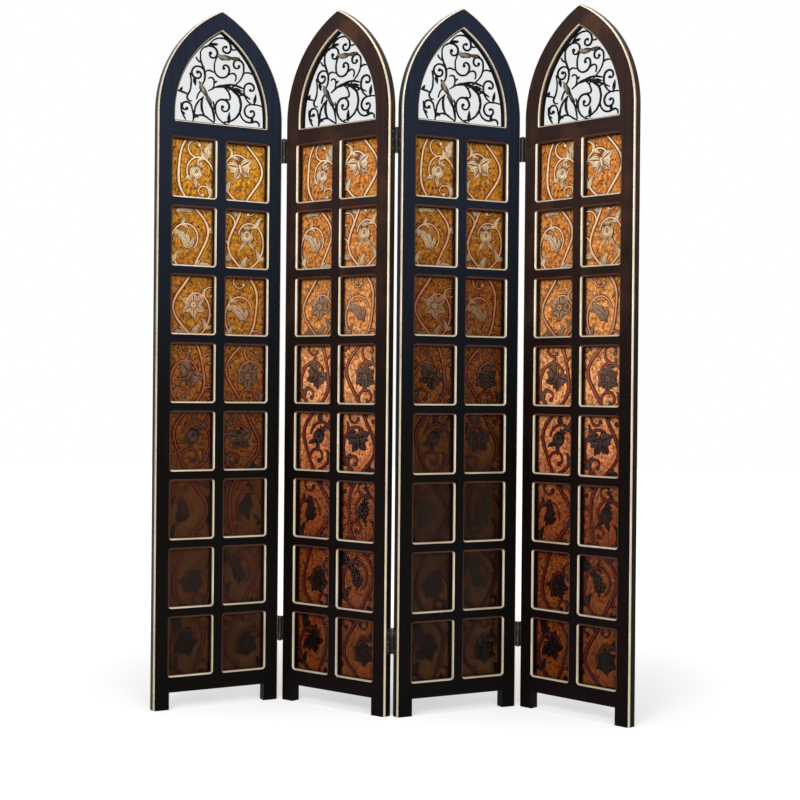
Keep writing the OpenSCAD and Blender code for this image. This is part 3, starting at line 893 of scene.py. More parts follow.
@dataclass(frozen=True)
class EmbossedVarnish(Finish):
    """Varnished relief of the pictures: its ground, its stems or its figures.

    Args:
        hand: Side that the panel's front is turned to, as PanelPlace gives it.
        stops: Colours from the foot to the head of the sheet.
        flank: What the colour is multiplied with on the flanks of a relief, as painted shade. None is for the
            ground.
        mottled: How strongly the varnish is mottled.
        crest: Share of the height from which a relief has its own colour.
        blotches: What the colour is multiplied with in the mottling, from its dark to its light parts.
        fleck: What it is multiplied with in the flecks.
        foot: What it is multiplied with at the foot of a relief, as painted shade.
        shade: Colour in the shadow of the recess.
    """

    hand: float
    stops: Stops
    flank: Colour | None = None
    mottled: float = 1.0
    crest: float = 0.9
    blotches: Stops = (
        (0.34, (0.22, 0.16, 0.13)),
        (0.46, (0.78, 0.72, 0.66)),
        (0.56, (1.08, 1.08, 1.0)),
        (0.68, (1.7, 1.75, 1.6)),
    )
    fleck: Colour = (0.20, 0.11, 0.10)
    foot: Colour = (0.07, 0.04, 0.035)
    shade: Colour = (0.004, 0.002, 0.0015)

    def surface(self, sheet: NodeSheet) -> Socket:
        """Colours the relief by its height on the board, paints shade on its flanks and feet and the shadow
        of the recess, and darkens its flecks.

        Args:
            sheet: The material's sheet.

        Returns:
            The material's surface.
        """
        place = self.own_place(sheet)
        marks = STIPPLE.place(sheet, Vector=place)
        low = (SIZES.sill - SIZES.rebate) * MM
        high = (SIZES.lights_top + SIZES.rebate) * MM
        up = sheet.math("DIVIDE", sheet.minus(sheet.parts(place)[2], low), high - low)
        drift = sheet.times(sheet.minus(marks["Drift"], 0.5), 0.14)
        colour = sheet.ramp(sheet.math("ADD", up, drift, clamp=True), self.stops)
        blotchy = sheet.tint(colour, sheet.ramp(marks["Mottle"], self.blotches))
        colour = sheet.mix(self.mottled, colour, blotchy)
        flecked = sheet.tint(colour, self.fleck)
        colour = sheet.mix(sheet.times(marks["Flecks"], 0.85 * self.mottled), colour, flecked)
        # Painted light on the relief: flanks and feet darkened as painted shade, crests at the full colour as
        # a painted highlight
        if self.flank is not None:
            flanks = ((0.30, self.flank), (self.crest - 0.2, self.flank))
            steps = ((0.08, self.foot), *flanks, (self.crest, WHITE))
            colour = sheet.tint(colour, sheet.ramp(self.share_of_height(sheet), steps))
        # Painted shadow of the recess along the jamb and under the bar above
        recess = GILDING.place(sheet, Place=place, Hand=self.hand)["Recess"]
        height = sheet.blend(0.5, marks["Pits"], marks["Mottle"])
        return sheet.principled(
            Base_Color=sheet.mix(sheet.times(recess, 0.92), colour, self.shade),
            Roughness=sheet.blend(marks["Drift"], 0.26, 0.46),
            Normal=sheet.bump(height, strength=0.3 + 0.5 * self.mottled, distance=0.0011),
            Specular_IOR_Level=0.012,
        )


@dataclass(frozen=True)
class CastMetal(Finish):
    """Cast or rolled metal with a painted or browned skin.

    Args:
        colour: Colour of the skin.
        bare: Colour where it is rubbed.
        metallic: Metallic value of the skin.
        rubbed: Share of the surface that is rubbed.
        roughness: Middle roughness.
        specular: Specular level.
        hollow: What the colour is multiplied with in the hollows of a relief, partly patina and partly
            painted shade. None is for plain pieces.
    """

    colour: Colour
    bare: Colour
    metallic: float = 0.0
    rubbed: float = 0.3
    roughness: float = 0.42
    specular: float = 0.4
    hollow: Colour | None = None

    def surface(self, sheet: NodeSheet) -> Socket:
        """Lays the skin over the metal, with rubbed patches.

        Args:
            sheet: The material's sheet.

        Returns:
            The material's surface.
        """
        wear = METAL_WEAR.place(sheet, Vector=self.own_place(sheet), Amount=self.rubbed)
        rubbed, skin = wear["Rubbed"], wear["Skin"]
        uneven = sheet.ramp(skin, ((0.3, (0.7, 0.7, 0.7)), (0.7, (1.25, 1.25, 1.25))))
        colour = sheet.mix(rubbed, sheet.tint(self.colour, uneven), self.bare)
        # Darker in the hollows: partly patina, partly painted shade
        if self.hollow is not None:
            depth = sheet.ramp(self.share_of_height(sheet), ((0.40, self.hollow), (0.92, WHITE)))
            colour = sheet.tint(colour, depth)
        return sheet.principled(
            Base_Color=colour,
            Metallic=sheet.blend(rubbed, self.metallic, 0.9),
            Roughness=sheet.blend(skin, self.roughness - 0.1, self.roughness + 0.12),
            Normal=sheet.bump(skin, strength=0.25, distance=0.0004),
            Specular_IOR_Level=self.specular,
        )


# Drawing along paths

# Largest turns between two points of an arc and of a tendril, in degrees
ARC_STEP = 8.0
CURL_STEP = 12.0


def along(degrees: float) -> Vector:
    """Unit vector at an angle from X, in the front view."""
    return Vector((math.cos(math.radians(degrees)), math.sin(math.radians(degrees))))


def bearing(first: Vector, second: Vector) -> float:
    """Direction from one place to another, in degrees."""
    run = second - first
    return math.degrees(math.atan2(run.y, run.x))


def arc_run(start: Point2, heading: float, arcs: list[Point2]) -> list[Vector]:
    """Points of a chain of arcs.

    Args:
        start: Where the chain starts.
        heading: Its first direction, in degrees.
        arcs: Radius and turn of each arc, with a turn to the left positive.

    Returns:
        The points, with the start first.
    """
    points = [Vector(start)]
    for radius, turn in arcs:
        side = 90.0 if turn > 0 else -90.0
        centre = points[-1] + along(heading + side) * radius
        count = max(2, math.ceil(abs(turn) / ARC_STEP))
        for k in range(1, count + 1):
            points.append(centre + along(heading - side + turn * k / count) * radius)
        heading += turn
    return points


def volute(
    centre: Point2, inner: float, outer: float, angle: float, turn: float, arcs: list[Point2]
) -> list[Vector]:
    """Points of a spiral that opens from its eye and runs on in arcs.

    Args:
        centre: Middle of the spiral.
        inner: Radius at the eye.
        outer: Radius where the arcs start.
        angle: Angle of the eye about the middle, in degrees.
        turn: Turn of the spiral.
        arcs: Arcs that follow, as arc_run takes them.

    Returns:
        The points, with the eye first.
    """
    middle = Vector(centre)

    def at(t: float) -> Vector:
        """Place at a share of the spiral."""
        return middle + along(angle + turn * t) * (inner + (outer - inner) * t**0.7)

    count = math.ceil(abs(turn) / ARC_STEP)
    points = [at(k / count) for k in range(count + 1)]
    heading = bearing(at(0.98), at(1.0))
    return points + arc_run(points[-1].to_tuple(), heading, arcs)[1:]


def curl(start: Vector, heading: float, outer: float, inner: float, turn: float) -> list[Vector]:
    """Points of a branch that leaves a stem and winds up.

    Args:
        start: Where it leaves the stem.
        heading: Direction there, in degrees.
        outer: Radius at the start.
        inner: Radius at its other end.
        turn: Whole turn, to the left positive.

    Returns:
        The points, with the start first.
    """
    count = max(3, math.ceil(abs(turn) / CURL_STEP))
    points = [start.copy()]
    for k in range(count):
        t = (k + 0.5) / count
        radius = outer + (inner - outer) * t**0.8
        heading += turn / count
        length = radius * math.radians(abs(turn) / count)
        points.append(points[-1] + along(heading - turn / count / 2) * length)
    return points


def new_mesh(points: list[Point3], faces: list[tuple[int, ...]], smooth: int = 0) -> bpy.types.Mesh:
    """Makes a mesh.

    Args:
        points: Its points, in metres.
        faces: Its faces.
        smooth: How many of its first faces are smooth.

    Returns:
        The new mesh.
    """
    mesh = bpy.data.meshes.new("shape")
    mesh.from_pydata(points, [], faces)
    mesh.polygons.foreach_set("use_smooth", [k < smooth for k in range(len(faces))])
    mesh.update()
    return mesh


@dataclass
class Relief:
    """Mesh of low relief on a plane that faces the front of a panel.

    Every point keeps its share of the height of its own form, for the colours, which paint shade low on a
    form and leave its top light as a painted highlight.

    Args:
        ground: Depth of the plane behind the panel's front face, in millimetres.
        origin: Place in the panel's front view that the drawing's zero lies on.
        outline: Width of the low band round each form, which the colours paint dark as painted shade.
        tone: What the shares are multiplied with, lower for parts that are to look darker.
        foot: Height of the feet of the forms, under the ground.
        hem: Width of the slope on a foot, and the share of the rise that it goes up to.
        points: Points of the mesh so far, in metres.
        shares: Share of the height of its form, point by point.
        faces: Faces of the mesh so far.
    """

    ground: float
    origin: Point2 = (0.0, 0.0)
    outline: float = 0.0
    tone: float = 1.0
    foot: float = -0.4
    hem: float = 0.05
    points: list[Point3] = field(default_factory=list)
    shares: list[float] = field(default_factory=list)
    faces: list[tuple[int, ...]] = field(default_factory=list)

    def put(self, place: Vector, rise: float, share: float) -> int:
        """Adds a point.

        Args:
            place: Its place in the drawing.
            rise: How far it stands out from the ground.
            share: Its share of the height of its form.

        Returns:
            Its number.
        """
        x, z = place.x + self.origin[0], place.y + self.origin[1]
        self.points.append((x * MM, (self.ground - rise) * MM, z * MM))
        self.shares.append(share * self.tone)
        return len(self.points) - 1

    def strip(self, rows: list[list[int]]) -> None:
        """Joins rows of points to a strip with closed ends.

        Args:
            rows: Numbers of the points of each row.
        """
        for a, b in zip(rows, rows[1:]):
            for k in range(len(a) - 1):
                self.faces.append((a[k], a[k + 1], b[k + 1], b[k]))
        self.faces.append(tuple(reversed(rows[0])))
        self.faces.append(tuple(rows[-1]))

    def across(self, half: float, crown: tuple[Point2, ...]) -> Section:
        """Cross-section of a form, with its outline and its feet in the ground.

        Args:
            half: Half width of the form.
            crown: Places across it, in shares of the half width, and their heights in shares of its rise.

        Returns:
            Place across in millimetres, height in shares of the rise, and share for the colour, point by
            point. A negative height is one below the ground, in millimetres.
        """
        reach, foot, hem = half + self.outline, self.foot, self.hem
        # The feet and the outline band get low shares, which the colours paint dark as painted shade
        left = [(-reach, foot, 0.0), (-reach + hem, hem, 0.0)]
        right = [(reach - hem, hem, 0.0), (reach, foot, 0.0)]
        band = [(-half, 0.07, 0.05)] if self.outline else []
        mirrored = [(-x, up, share) for x, up, share in band]
        return left + band + [(x * half, up, up) for x, up in crown] + mirrored + right

    def row(self, place: Vector, side: Vector, section: Section, rise: float) -> list[int]:
        """Adds one cross-section at a place, and gives the numbers of its points."""
        return [self.put(place + side * x, up * rise if up > 0 else up, share) for x, up, share in section]

    def ridge(self, path: list[Vector], widths: list[float], rise: float) -> None:
        """A rounded ridge along a path.

        Args:
            path: Points of its middle line.
            widths: Full width at each point.
            rise: Height of the crest where the ridge is widest.
        """
        crown = ((-0.94, 0.34), (-0.60, 0.80), (0.0, 1.0), (0.60, 0.80), (0.94, 0.34))
        widest = max(widths)
        rows = []
        for i, point in enumerate(path):
            run = path[min(len(path) - 1, i + 1)] - path[max(0, i - 1)]
            side = Vector((-run.y, run.x)).normalized() if run.length > 1e-9 else Vector((1.0, 0.0))
            crest = rise * (0.5 + 0.5 * widths[i] / widest)
            rows.append(self.row(point, side, self.across(widths[i] / 2, crown), crest))
        self.strip(rows)

    def dome(self, outline: list[Vector], centre: Vector, rise: float) -> None:
        """A rounded swelling inside an outline.

        Args:
            outline: Its points, counter-clockwise as seen from the front.
            centre: Where it is highest.
            rise: Height there.
        """
        out = [p + (p - centre).normalized() * self.outline for p in outline]
        rings = [[self.put(p, up, 0.0) for p in out] for up in (self.foot, self.hem * rise)]
        for size, up in ((1.0, 0.07), (0.96, 0.36), (0.82, 0.70), (0.56, 0.92), (0.28, 0.99)):
            rings.append([self.put(centre + (p - centre) * size, up * rise, up) for p in outline])
        top = self.put(centre, rise, 1.0)
        count = len(outline)
        for a, b in zip(rings, rings[1:]):
            for k in range(count):
                self.faces.append((a[k], b[k], b[(k + 1) % count], a[(k + 1) % count]))
        for k in range(count):
            self.faces.append((rings[-1][k], top, rings[-1][(k + 1) % count]))

    def blade(
        self, base: Vector, heading: float, length: float, half: float, rise: float, bend: float = 0.0
    ) -> None:
        """A pointed leaf with a raised rim on each side of its rib.

        Args:
            base: Where its stalk starts.
            heading: Direction there, in degrees.
            length: Length along the rib.
            half: Largest half width.
            rise: Height of the raised parts.
            bend: Turn of the rib from end to end, in degrees.
        """
        crown = (
            (-0.97, 0.36), (-0.82, 0.95), (-0.60, 0.48), (-0.34, 1.0), (-0.08, 0.36),
            (0.08, 0.36), (0.34, 1.0), (0.60, 0.48), (0.82, 0.95), (0.97, 0.36),
        )
        count = 8
        rows = []
        place = base.copy()
        for k in range(count + 1):
            t = k / count
            direction = heading + bend * t
            width = half * max(0.08, math.sin(math.pi * t**0.8))
            lift = rise * (0.6 + 0.4 * math.sin(math.pi * t))
            # Painted shade: the shares fall towards the leaf's base, which makes it darker there than at its
            # tip
            shade = min(1.0, 0.70 + 0.55 * t)
            section = [(x, up, share * shade) for x, up, share in self.across(width, crown)]
            rows.append(self.row(place, along(direction + 90.0), section, lift))
            place = place + along(direction) * (length / count)
        self.strip(rows)

    def acanthus(self, base: Vector, heading: float, length: float, rise: float, bend: float) -> None:
        """A leaf with curling lobes on both sides of its rib.

        Args:
            base: Where its stalk starts.
            heading: Direction there, in degrees.
            length: Length along the rib.
            rise: Height of the raised parts.
            bend: Turn of the rib from end to end, in degrees.
        """
        for side in (-1.0, 1.0):
            for k in range(4):
                t = 0.14 + 0.2 * k
                turn = heading + bend * t + side * (58.0 - 7.0 * k)
                reach = length * (0.40 - 0.065 * k) * (1.12 if side * bend < 0 else 0.9)
                root = base + along(heading + bend * t / 2) * (length * t)
                self.blade(root, turn, reach, length * 0.075, rise * 0.9, -side * 64.0)
        self.blade(base, heading, length, length * 0.11, rise, bend)

    def mesh(self) -> bpy.types.Mesh:
        """Makes the mesh.

        Returns:
            The mesh, smooth, with the shares as its attribute "rise".
        """
        mesh = new_mesh(self.points, self.faces, len(self.faces))
        shares = mesh.attributes.new("rise", "FLOAT", "POINT")
        shares.data.foreach_set("value", self.shares)
        return mesh


def ellipse(centre: Vector, a: float, b: float, tilt: float, count: int = 20) -> list[Vector]:
    """Points of a tilted ellipse.

    Args:
        centre: Its middle.
        a: Its first half size.
        b: Its second half size.
        tilt: Direction of the first, in degrees.
        count: Number of points.

    Returns:
        The points, counter-clockwise.
    """
    axis, cross = along(tilt) * a, along(tilt + 90.0) * b
    turns = [2 * math.pi * k / count for k in range(count)]
    return [centre + axis * math.cos(turn) + cross * math.sin(turn) for turn in turns]


def swell(count: int, thin: float, wide: float) -> list[float]:
    """Widths that are thin at both ends of a path and wide at its middle."""
    return [thin + (wide - thin) * math.sin(math.pi * k / max(1, count - 1)) for k in range(count)]


def taper(count: int, first: float, last: float) -> list[float]:
    """Widths that run evenly from one end of a path to the other."""
    return [first + (last - first) * k / max(1, count - 1) for k in range(count)]


def add_piece(
    place: PanelPlace, kind: str, mesh: bpy.types.Mesh, material: bpy.types.Material
) -> bpy.types.Object:
    """Adds a piece that is modelled in a panel's frame.

    Args:
        place: The panel that it rides on.
        kind: What it is called on every panel.
        mesh: Its mesh, in metres in the panel's frame.
        material: Its material.

    Returns:
        The new object.
    """
    name = place.node(kind)
    mesh.name = name
    piece = bpy.data.objects.new(name, mesh)
    bpy.context.scene.collection.objects.link(piece)
    piece.matrix_world = place.matrix()
    mesh.materials.append(material)
    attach(piece, place.body)
    LOG.info("%s: %d faces on %s", name, len(mesh.polygons), place.body)
    return piece


# Motifs


@dataclass
class Motif:
    """A small figure in low relief.

    Args:
        middle: Place that it is drawn from.
        tilt: Turn of the figure, in degrees.
        size: Its main length, in millimetres.
        rise: Height above the ground.
    """

    middle: Point2
    tilt: float
    size: float
    rise: float

    def spot(self, x: float, y: float) -> Vector:
        """A place on the figure, given in shares of its size, in the drawing's frame."""
        out, up = along(self.tilt) * (x * self.size), along(self.tilt + 90.0) * (y * self.size)
        return Vector(self.middle) + out + up

    def swelling(
        self, relief: Relief, x: float, y: float, a: float, b: float, lean: float, rise: float
    ) -> None:
        """Adds a rounded form. Its place and half sizes are shares of the figure's size.

        Args:
            relief: Relief that takes it.
            x: Its place along the figure.
            y: Its place across the figure.
            a: Half its length.
            b: Half its width.
            lean: Its turn on the figure, in degrees.
            rise: Its height, as a share of the figure's.
        """
        centre = self.spot(x, y)
        outline = ellipse(centre, a * self.size, b * self.size, self.tilt + lean, 18)
        relief.dome(outline, centre, rise * self.rise)

    def feather(
        self, relief: Relief, x: float, y: float, lean: float, length: float, half: float, rise: float,
        bend: float = 0.0,
    ) -> None:
        """Adds a blade whose place and sizes are shares of the figure's size."""
        root, heading = self.spot(x, y), self.tilt + lean
        relief.blade(root, heading, length * self.size, half * self.size, rise * self.rise, bend)

    def model(self, relief: Relief) -> None:
        """Adds the figure to a relief. Each kind has its own."""
        raise NotImplementedError


@dataclass
class Bird(Motif):
    """A perched bird that looks towards -X, drawn from its breast, with dark wing feathers.

    Args:
        tail: Length of its tail, as a share of its size.
    """

    tail: float = 0.9

    def model(self, relief: Relief) -> None:
        """Adds tail, beak, body, breast scales, wing and eye.

        Args:
            relief: Relief that takes it.
        """
        for k in (-1, 1, 0):
            relief.tone = 0.75 + 0.15 * (k == 0)
            self.feather(relief, 0.60, 0.03 * k, -4.0 + 8.0 * k, self.tail, 0.065, 0.6)
        relief.tone = 0.5
        self.feather(relief, -0.27, 0.14, 192.0, 0.24, 0.055, 0.6)
        relief.tone = 1.0
        self.swelling(relief, 0.30, 0.0, 0.44, 0.20, -6.0, 0.9)
        self.swelling(relief, -0.08, 0.06, 0.20, 0.15, 40.0, 0.92)
        self.swelling(relief, -0.19, 0.14, 0.15, 0.135, 0.0, 1.0)
        for k in range(3):
            for j in range(3):
                self.swelling(relief, 0.10 * j, -0.11 + 0.07 * k + 0.015 * j, 0.05, 0.04, 0.0, 1.03)
        for k in range(5):
            relief.tone = 0.42 + 0.3 * (k % 2)
            lean, length, rise = -5.0 - 4.0 * k, 0.74 - 0.09 * k, 1.22 - 0.06 * k
            self.feather(relief, 0.12 + 0.05 * k, 0.17 - 0.055 * k, lean, length, 0.05, rise, -8.0)
        relief.tone = 0.15
        self.swelling(relief, -0.22, 0.165, 0.035, 0.035, 0.0, 1.15)
        relief.tone = 1.0


@dataclass
class Butterfly(Motif):
    """A butterfly with spread wings, drawn from its body."""

    def model(self, relief: Relief) -> None:
        """Adds wings, their eyes, the body and the feelers.

        Args:
            relief: Relief that takes it.
        """
        for side in (-1.0, 1.0):
            relief.tone = 0.85
            self.feather(relief, -0.08, side * 0.03, side * 128.0, 0.46, 0.17, 0.8, side * 18.0)
            relief.tone = 1.0
            self.feather(relief, 0.06, side * 0.03, side * 62.0, 0.64, 0.20, 0.95, side * 22.0)
            self.feather(relief, 0.02, side * 0.03, side * 92.0, 0.50, 0.12, 0.9, side * 10.0)
            relief.tone = 0.5
            self.swelling(relief, 0.20, side * 0.36, 0.055, 0.055, 0.0, 1.12)
            self.swelling(relief, -0.24, side * 0.24, 0.045, 0.045, 0.0, 1.12)
            feeler = [self.spot(0.22 + 0.09 * k, side * (0.02 + 0.035 * k * k / 2)) for k in range(4)]
            relief.ridge(feeler, [0.03 * self.size] * 4, self.rise * 0.5)
        relief.tone = 0.9
        self.swelling(relief, 0.0, 0.0, 0.25, 0.05, 0.0, 1.2)
        relief.tone = 1.0


@dataclass
class Pomegranate(Motif):
    """A burst pomegranate on two leaves, drawn from its middle with its crown along +X."""

    def model(self, relief: Relief) -> None:
        """Adds leaves, crown, rind and seeds.

        Args:
            relief: Relief that takes it.
        """
        for side in (-1.0, 1.0):
            self.feather(relief, -0.30, 0.0, 180.0 - side * 70.0, 0.52, 0.10, 0.8, side * 60.0)
            self.feather(relief, 0.30, side * 0.05, side * 26.0, 0.26, 0.06, 0.85, side * 14.0)
        self.feather(relief, 0.30, 0.0, 0.0, 0.30, 0.06, 0.9)
        relief.tone = 0.72
        self.swelling(relief, 0.0, 0.0, 0.36, 0.32, 0.0, 0.95)
        relief.tone = 1.0
        for side in (-1.0, 1.0):
            for k in range(3):
                lean, bend = side * (34.0 + 17.0 * k), -side * (34.0 + 34.0 * k)
                self.feather(relief, -0.33, side * 0.03, lean, 0.68 - 0.03 * k, 0.045, 1.0, bend)
        relief.tone = 0.25
        self.swelling(relief, 0.05, 0.0, 0.23, 0.16, 0.0, 1.05)
        relief.tone = 1.0
        for k in range(4):
            for j in (-1.0, 0.0, 1.0):
                seed_x = -0.09 + 0.095 * k - 0.02 * abs(j)
                self.swelling(relief, seed_x, 0.085 * j, 0.038, 0.038, 0.0, 1.22)


@dataclass
class Blossom(Motif):
    """An open flower with six ribbed petals, drawn from its middle."""

    def model(self, relief: Relief) -> None:
        """Adds sepals, petals and the heart.

        Args:
            relief: Relief that takes it.
        """
        for p in range(6):
            angle = 60.0 * p
            inner = along(angle + 30.0) * 0.10
            relief.tone = 0.75
            self.feather(relief, inner.x, inner.y, angle + 30.0, 0.40, 0.09, 0.7)
            relief.tone = 1.0
            inner = along(angle) * 0.10
            self.feather(relief, inner.x, inner.y, angle, 0.52, 0.17, 0.95, 22.0)
        self.swelling(relief, 0.0, 0.0, 0.15, 0.15, 0.0, 1.1)
        relief.tone = 0.45
        self.swelling(relief, 0.0, 0.0, 0.07, 0.07, 0.0, 1.22)
        relief.tone = 1.0


# Pictures


@dataclass
class Canvas:
    """Keeps which parts of a board are taken, so that forms don't run into each other.

    Args:
        low: Lower left corner of the board in the panel's front view.
        high: Its upper right corner.
        cell: Size of the cells.
        taken: Numbers of the cells that are taken.
    """

    low: Point2
    high: Point2
    cell: float = 3.0
    taken: set[tuple[int, int]] = field(default_factory=set)

    def inside(self, place: Vector, margin: float) -> bool:
        """Whether a place lies on the board, at least margin from its edges."""
        return all(self.low[k] + margin < place[k] < self.high[k] - margin for k in (0, 1))

    def cells(self, place: Vector, radius: float) -> list[tuple[int, int]]:
        """The cells within a radius of a place.

        Args:
            place: The place.
            radius: The radius.

        Returns:
            Their numbers across and up.
        """
        reach = math.ceil(radius / self.cell)
        middle_i, middle_j = round(place.x / self.cell), round(place.y / self.cell)
        found = []
        for i in range(middle_i - reach, middle_i + reach + 1):
            for j in range(middle_j - reach, middle_j + reach + 1):
                if math.hypot(i * self.cell - place.x, j * self.cell - place.y) <= radius:
                    found.append((i, j))
        return found

    def take(self, places: list[Vector], radius: float) -> None:
        """Marks what lies within a radius of some places."""
        for place in places:
            self.taken.update(self.cells(place, radius))

    def free(self, places: list[Vector], radius: float, margin: float) -> bool:
        """Whether some places are on the board and nothing within a radius of them is taken."""
        untaken = (self.taken.isdisjoint(self.cells(place, radius)) for place in places)
        return all(self.inside(place, margin) for place in places) and all(untaken)


@dataclass
class VineDrawing:
    """The vines of a picture and what grows on them.

    Args:
        stems: Relief of the stems and tendrils.
        figures: Relief of leaves, berries and what fills the loops.
        canvas: The board, and what is taken of it.
        rng: Seeded source of the small differences.
        rise: Height of the relief.
        width: Width of the stems.
        sway: How far the main stems swing to each side.
        ripple: How far they waver besides.
        ripple_rate: Number of wavers to a swing.
        spacing: Distance between two points of a main stem.
        loop_reach: Distance of a loop's outer end from its middle.
        loop_width: Width of a loop, as a share of its height.
        loop_steps: Number of steps along a loop.
        margin: How far stems keep from the board's edges.
        clear: How far around a stem nothing else grows.
        runs: Paths that leaves and tendrils grow from.
    """

    stems: Relief
    figures: Relief
    canvas: Canvas
    rng: random.Random
    rise: float
    width: float = 10.0
    sway: float = 50.0
    ripple: float = 8.0
    ripple_rate: float = 2.37
    spacing: float = 6.0
    loop_reach: float = 104.0
    loop_width: float = 0.84
    loop_steps: int = 44
    margin: float = 4.0
    clear: float = 2.0
    runs: list[list[Vector]] = field(default_factory=list)

    def draw(self) -> None:
        """Draws a winding stem and eight loops in each column, fills them, and fills the ground between."""
        sizes = SIZES
        hearts = []
        for column, hand in ((0, 1.0), (1, -1.0)):
            centre = sizes.light_left(column) + sizes.light_w / 2
            main = self.main_stem(centre, hand)
            self.add_stem(main, [self.width + 1.2 * math.sin(0.04 * p.y) for p in main], 0.85)
            for row in range(sizes.rows):
                swing = hand * (1.0 if row % 2 == 0 else -1.0)
                x = centre - swing * self.rng.uniform(2.0, 18.0)
                z = sizes.sill + row * sizes.pitch + sizes.light_h / 2 + self.rng.uniform(-18.0, 16.0)
                path = self.loop(Vector((x, z)), -swing)
                self.add_stem(path, taper(len(path), self.width * 0.95, self.width * 0.6), 0.8)
                self.husk(path, 5, self.rng.uniform(38.0, 48.0))
                self.husk(path, 20, self.rng.uniform(26.0, 32.0))
                hearts.append((Vector((x, z)), swing))
        for number, (heart, swing) in enumerate(hearts):
            self.crown(heart, swing, number + number // sizes.rows)
        self.grow_tendrils()
        self.grow_leaves()

    def add_stem(self, path: list[Vector], widths: list[float], share: float) -> None:
        """Adds a stem that leaves and tendrils can grow from.

        Args:
            path: Its points.
            widths: Its widths at the points.
            share: Its height, as a share of the relief's.
        """
        self.stems.ridge(path, widths, self.rise * share)
        self.canvas.take(path, self.width / 2 + self.clear)
        self.runs.append(path)

    def main_stem(self, centre: float, hand: float) -> list[Vector]:
        """Winds up the board behind one column of lights.

        Args:
            centre: Middle of the column.
            hand: 1 if it swings to the right over the lowest light, -1 if to the left.

        Returns:
            Its points, with the lowest first.
        """
        start = self.rng.uniform(0.0, 6.28)
        low, high = self.canvas.low[1] + self.margin, self.canvas.high[1] - self.margin
        count = int((high - low) / self.spacing)
        points = []
        for k in range(count + 1):
            z = low + (high - low) * k / count
            wave = math.pi * (z - SIZES.sill + SIZES.bar / 2) / SIZES.pitch
            waver = self.ripple * math.sin(self.ripple_rate * wave + start)
            points.append(Vector((centre + hand * self.sway * math.sin(wave) + waver, z)))
        return points

    def loop(self, heart: Vector, hand: float) -> list[Vector]:
        """A branch that leaves the stem under a light and winds round its middle.

        Args:
            heart: Middle of the loop.
            hand: 1 if it winds to the left, -1 if to the right.

        Returns:
            Its points, with the outer end first and held inside the board.
        """
        turn = self.rng.uniform(255.0, 360.0)
        inner = self.rng.uniform(27.0, 40.0)
        points = []
        for k in range(self.loop_steps + 1):
            t = k / self.loop_steps
            radius = inner + (self.loop_reach - inner) * (1.0 - t) ** 2.1
            out = along(90.0 - hand * 180.0 + hand * turn * t) * radius
            points.append(self.held(heart + Vector((self.loop_width * out.x, out.y))))
        return [p for k, p in enumerate(points) if k == 0 or (p - points[k - 1]).length > 0.5]

    def held(self, place: Vector) -> Vector:
        """The nearest place that keeps the margin from the board's edges."""
        limits = zip(place, self.canvas.low, self.canvas.high)
        return Vector([min(max(v, low + self.margin), high - self.margin) for v, low, high in limits])

    def husk(self, path: list[Vector], index: int, length: float) -> None:
        """Wraps a stem in two leaves that curl away from it.

        Args:
            path: The stem.
            index: Point of the stem that they grow from.
            length: Their length.
        """
        heading = bearing(path[index], path[index + 1])
        for side in (-1.0, 1.0):
            root = path[index] + along(heading + side * 90.0) * 2.0
            outer, inner = heading + side * 12.0, heading + side * 8.0
            self.figures.blade(root, outer, length, length * 0.15, self.rise * 0.9, side * 84.0)
            self.figures.blade(root, inner, length * 0.7, length * 0.12, self.rise, side * 40.0)

    def crown(self, heart: Vector, swing: float, number: int) -> None:
        """Fills a loop with a butterfly, a flower, a leaf or a pomegranate.

        Args:
            heart: Middle of the loop.
            swing: Side of the loop's open end.
            number: Number that picks what it is filled with.
        """
        lean = self.rng.uniform(30.0, 150.0)
        kind = (Butterfly, Blossom, None, Pomegranate)[number % 4]
        if kind:
            size, reach = {Butterfly: (74.0, 36.0), Blossom: (68.0, 34.0), Pomegranate: (64.0, 34.0)}[kind]
            kind(heart.to_tuple(), lean, size, self.rise).model(self.figures)
            self.canvas.take([heart], reach)
            return
        base = heart - along(lean) * 38.0
        self.figures.acanthus(base, lean, 88.0, self.rise, swing * 70.0)
        self.canvas.take([base + along(lean + swing * 15.0) * d for d in range(0, 68, 4)], 18.0)

    def grow_tendrils(self) -> None:
        """Grows curled tendrils with a berry at their ends where the ground is free."""
        for radius, inner, width in ((34.0, 12.0, 8.0), (26.0, 9.0, 7.0)):
            for path in self.runs:
                for index in range(5, len(path) - 3, 5):
                    side = self.rng.choice((-1.0, 1.0))
                    heading = bearing(path[index - 1], path[index]) + side * 18.0
                    turn = side * self.rng.uniform(250.0, 330.0)
                    shoot = curl(path[index], heading, radius, inner, turn)
                    if self.rng.random() < 0.35 or not self.canvas.free(shoot[6:], 6.0, 5.0):
                        continue
                    self.stems.ridge(shoot, taper(len(shoot), width, width * 0.6), self.rise * 0.75)
                    self.figures.dome(ellipse(shoot[-1], 6.0, 6.0, 0.0, 12), shoot[-1], self.rise * 0.95)
                    self.canvas.take(shoot, 8.0)

    def grow_leaves(self) -> None:
        """Grows leaves of four sizes, the largest first, where the ground is free."""
        steps = (0.4, 0.52, 0.64, 0.76, 0.88, 1.0)
        for length, spread in ((64.0, 11.0), (50.0, 9.0), (38.0, 7.0), (28.0, 5.5)):
            for path in self.runs:
                for index in range(3, len(path) - 2, 3):
                    side = self.rng.choice((-1.0, 1.0))
                    heading = bearing(path[index - 1], path[index]) + side * self.rng.uniform(20.0, 38.0)
                    bend = side * self.rng.uniform(50.0, 85.0)
                    size = length * self.rng.uniform(0.9, 1.08)
                    spine = [path[index] + along(heading + bend * t / 2) * (size * t) for t in steps]
                    if self.canvas.free(spine, spread, 6.0):
                        self.figures.acanthus(path[index], heading, size, self.rise * 0.92, bend)
                        self.canvas.take(spine, spread + 5.0)


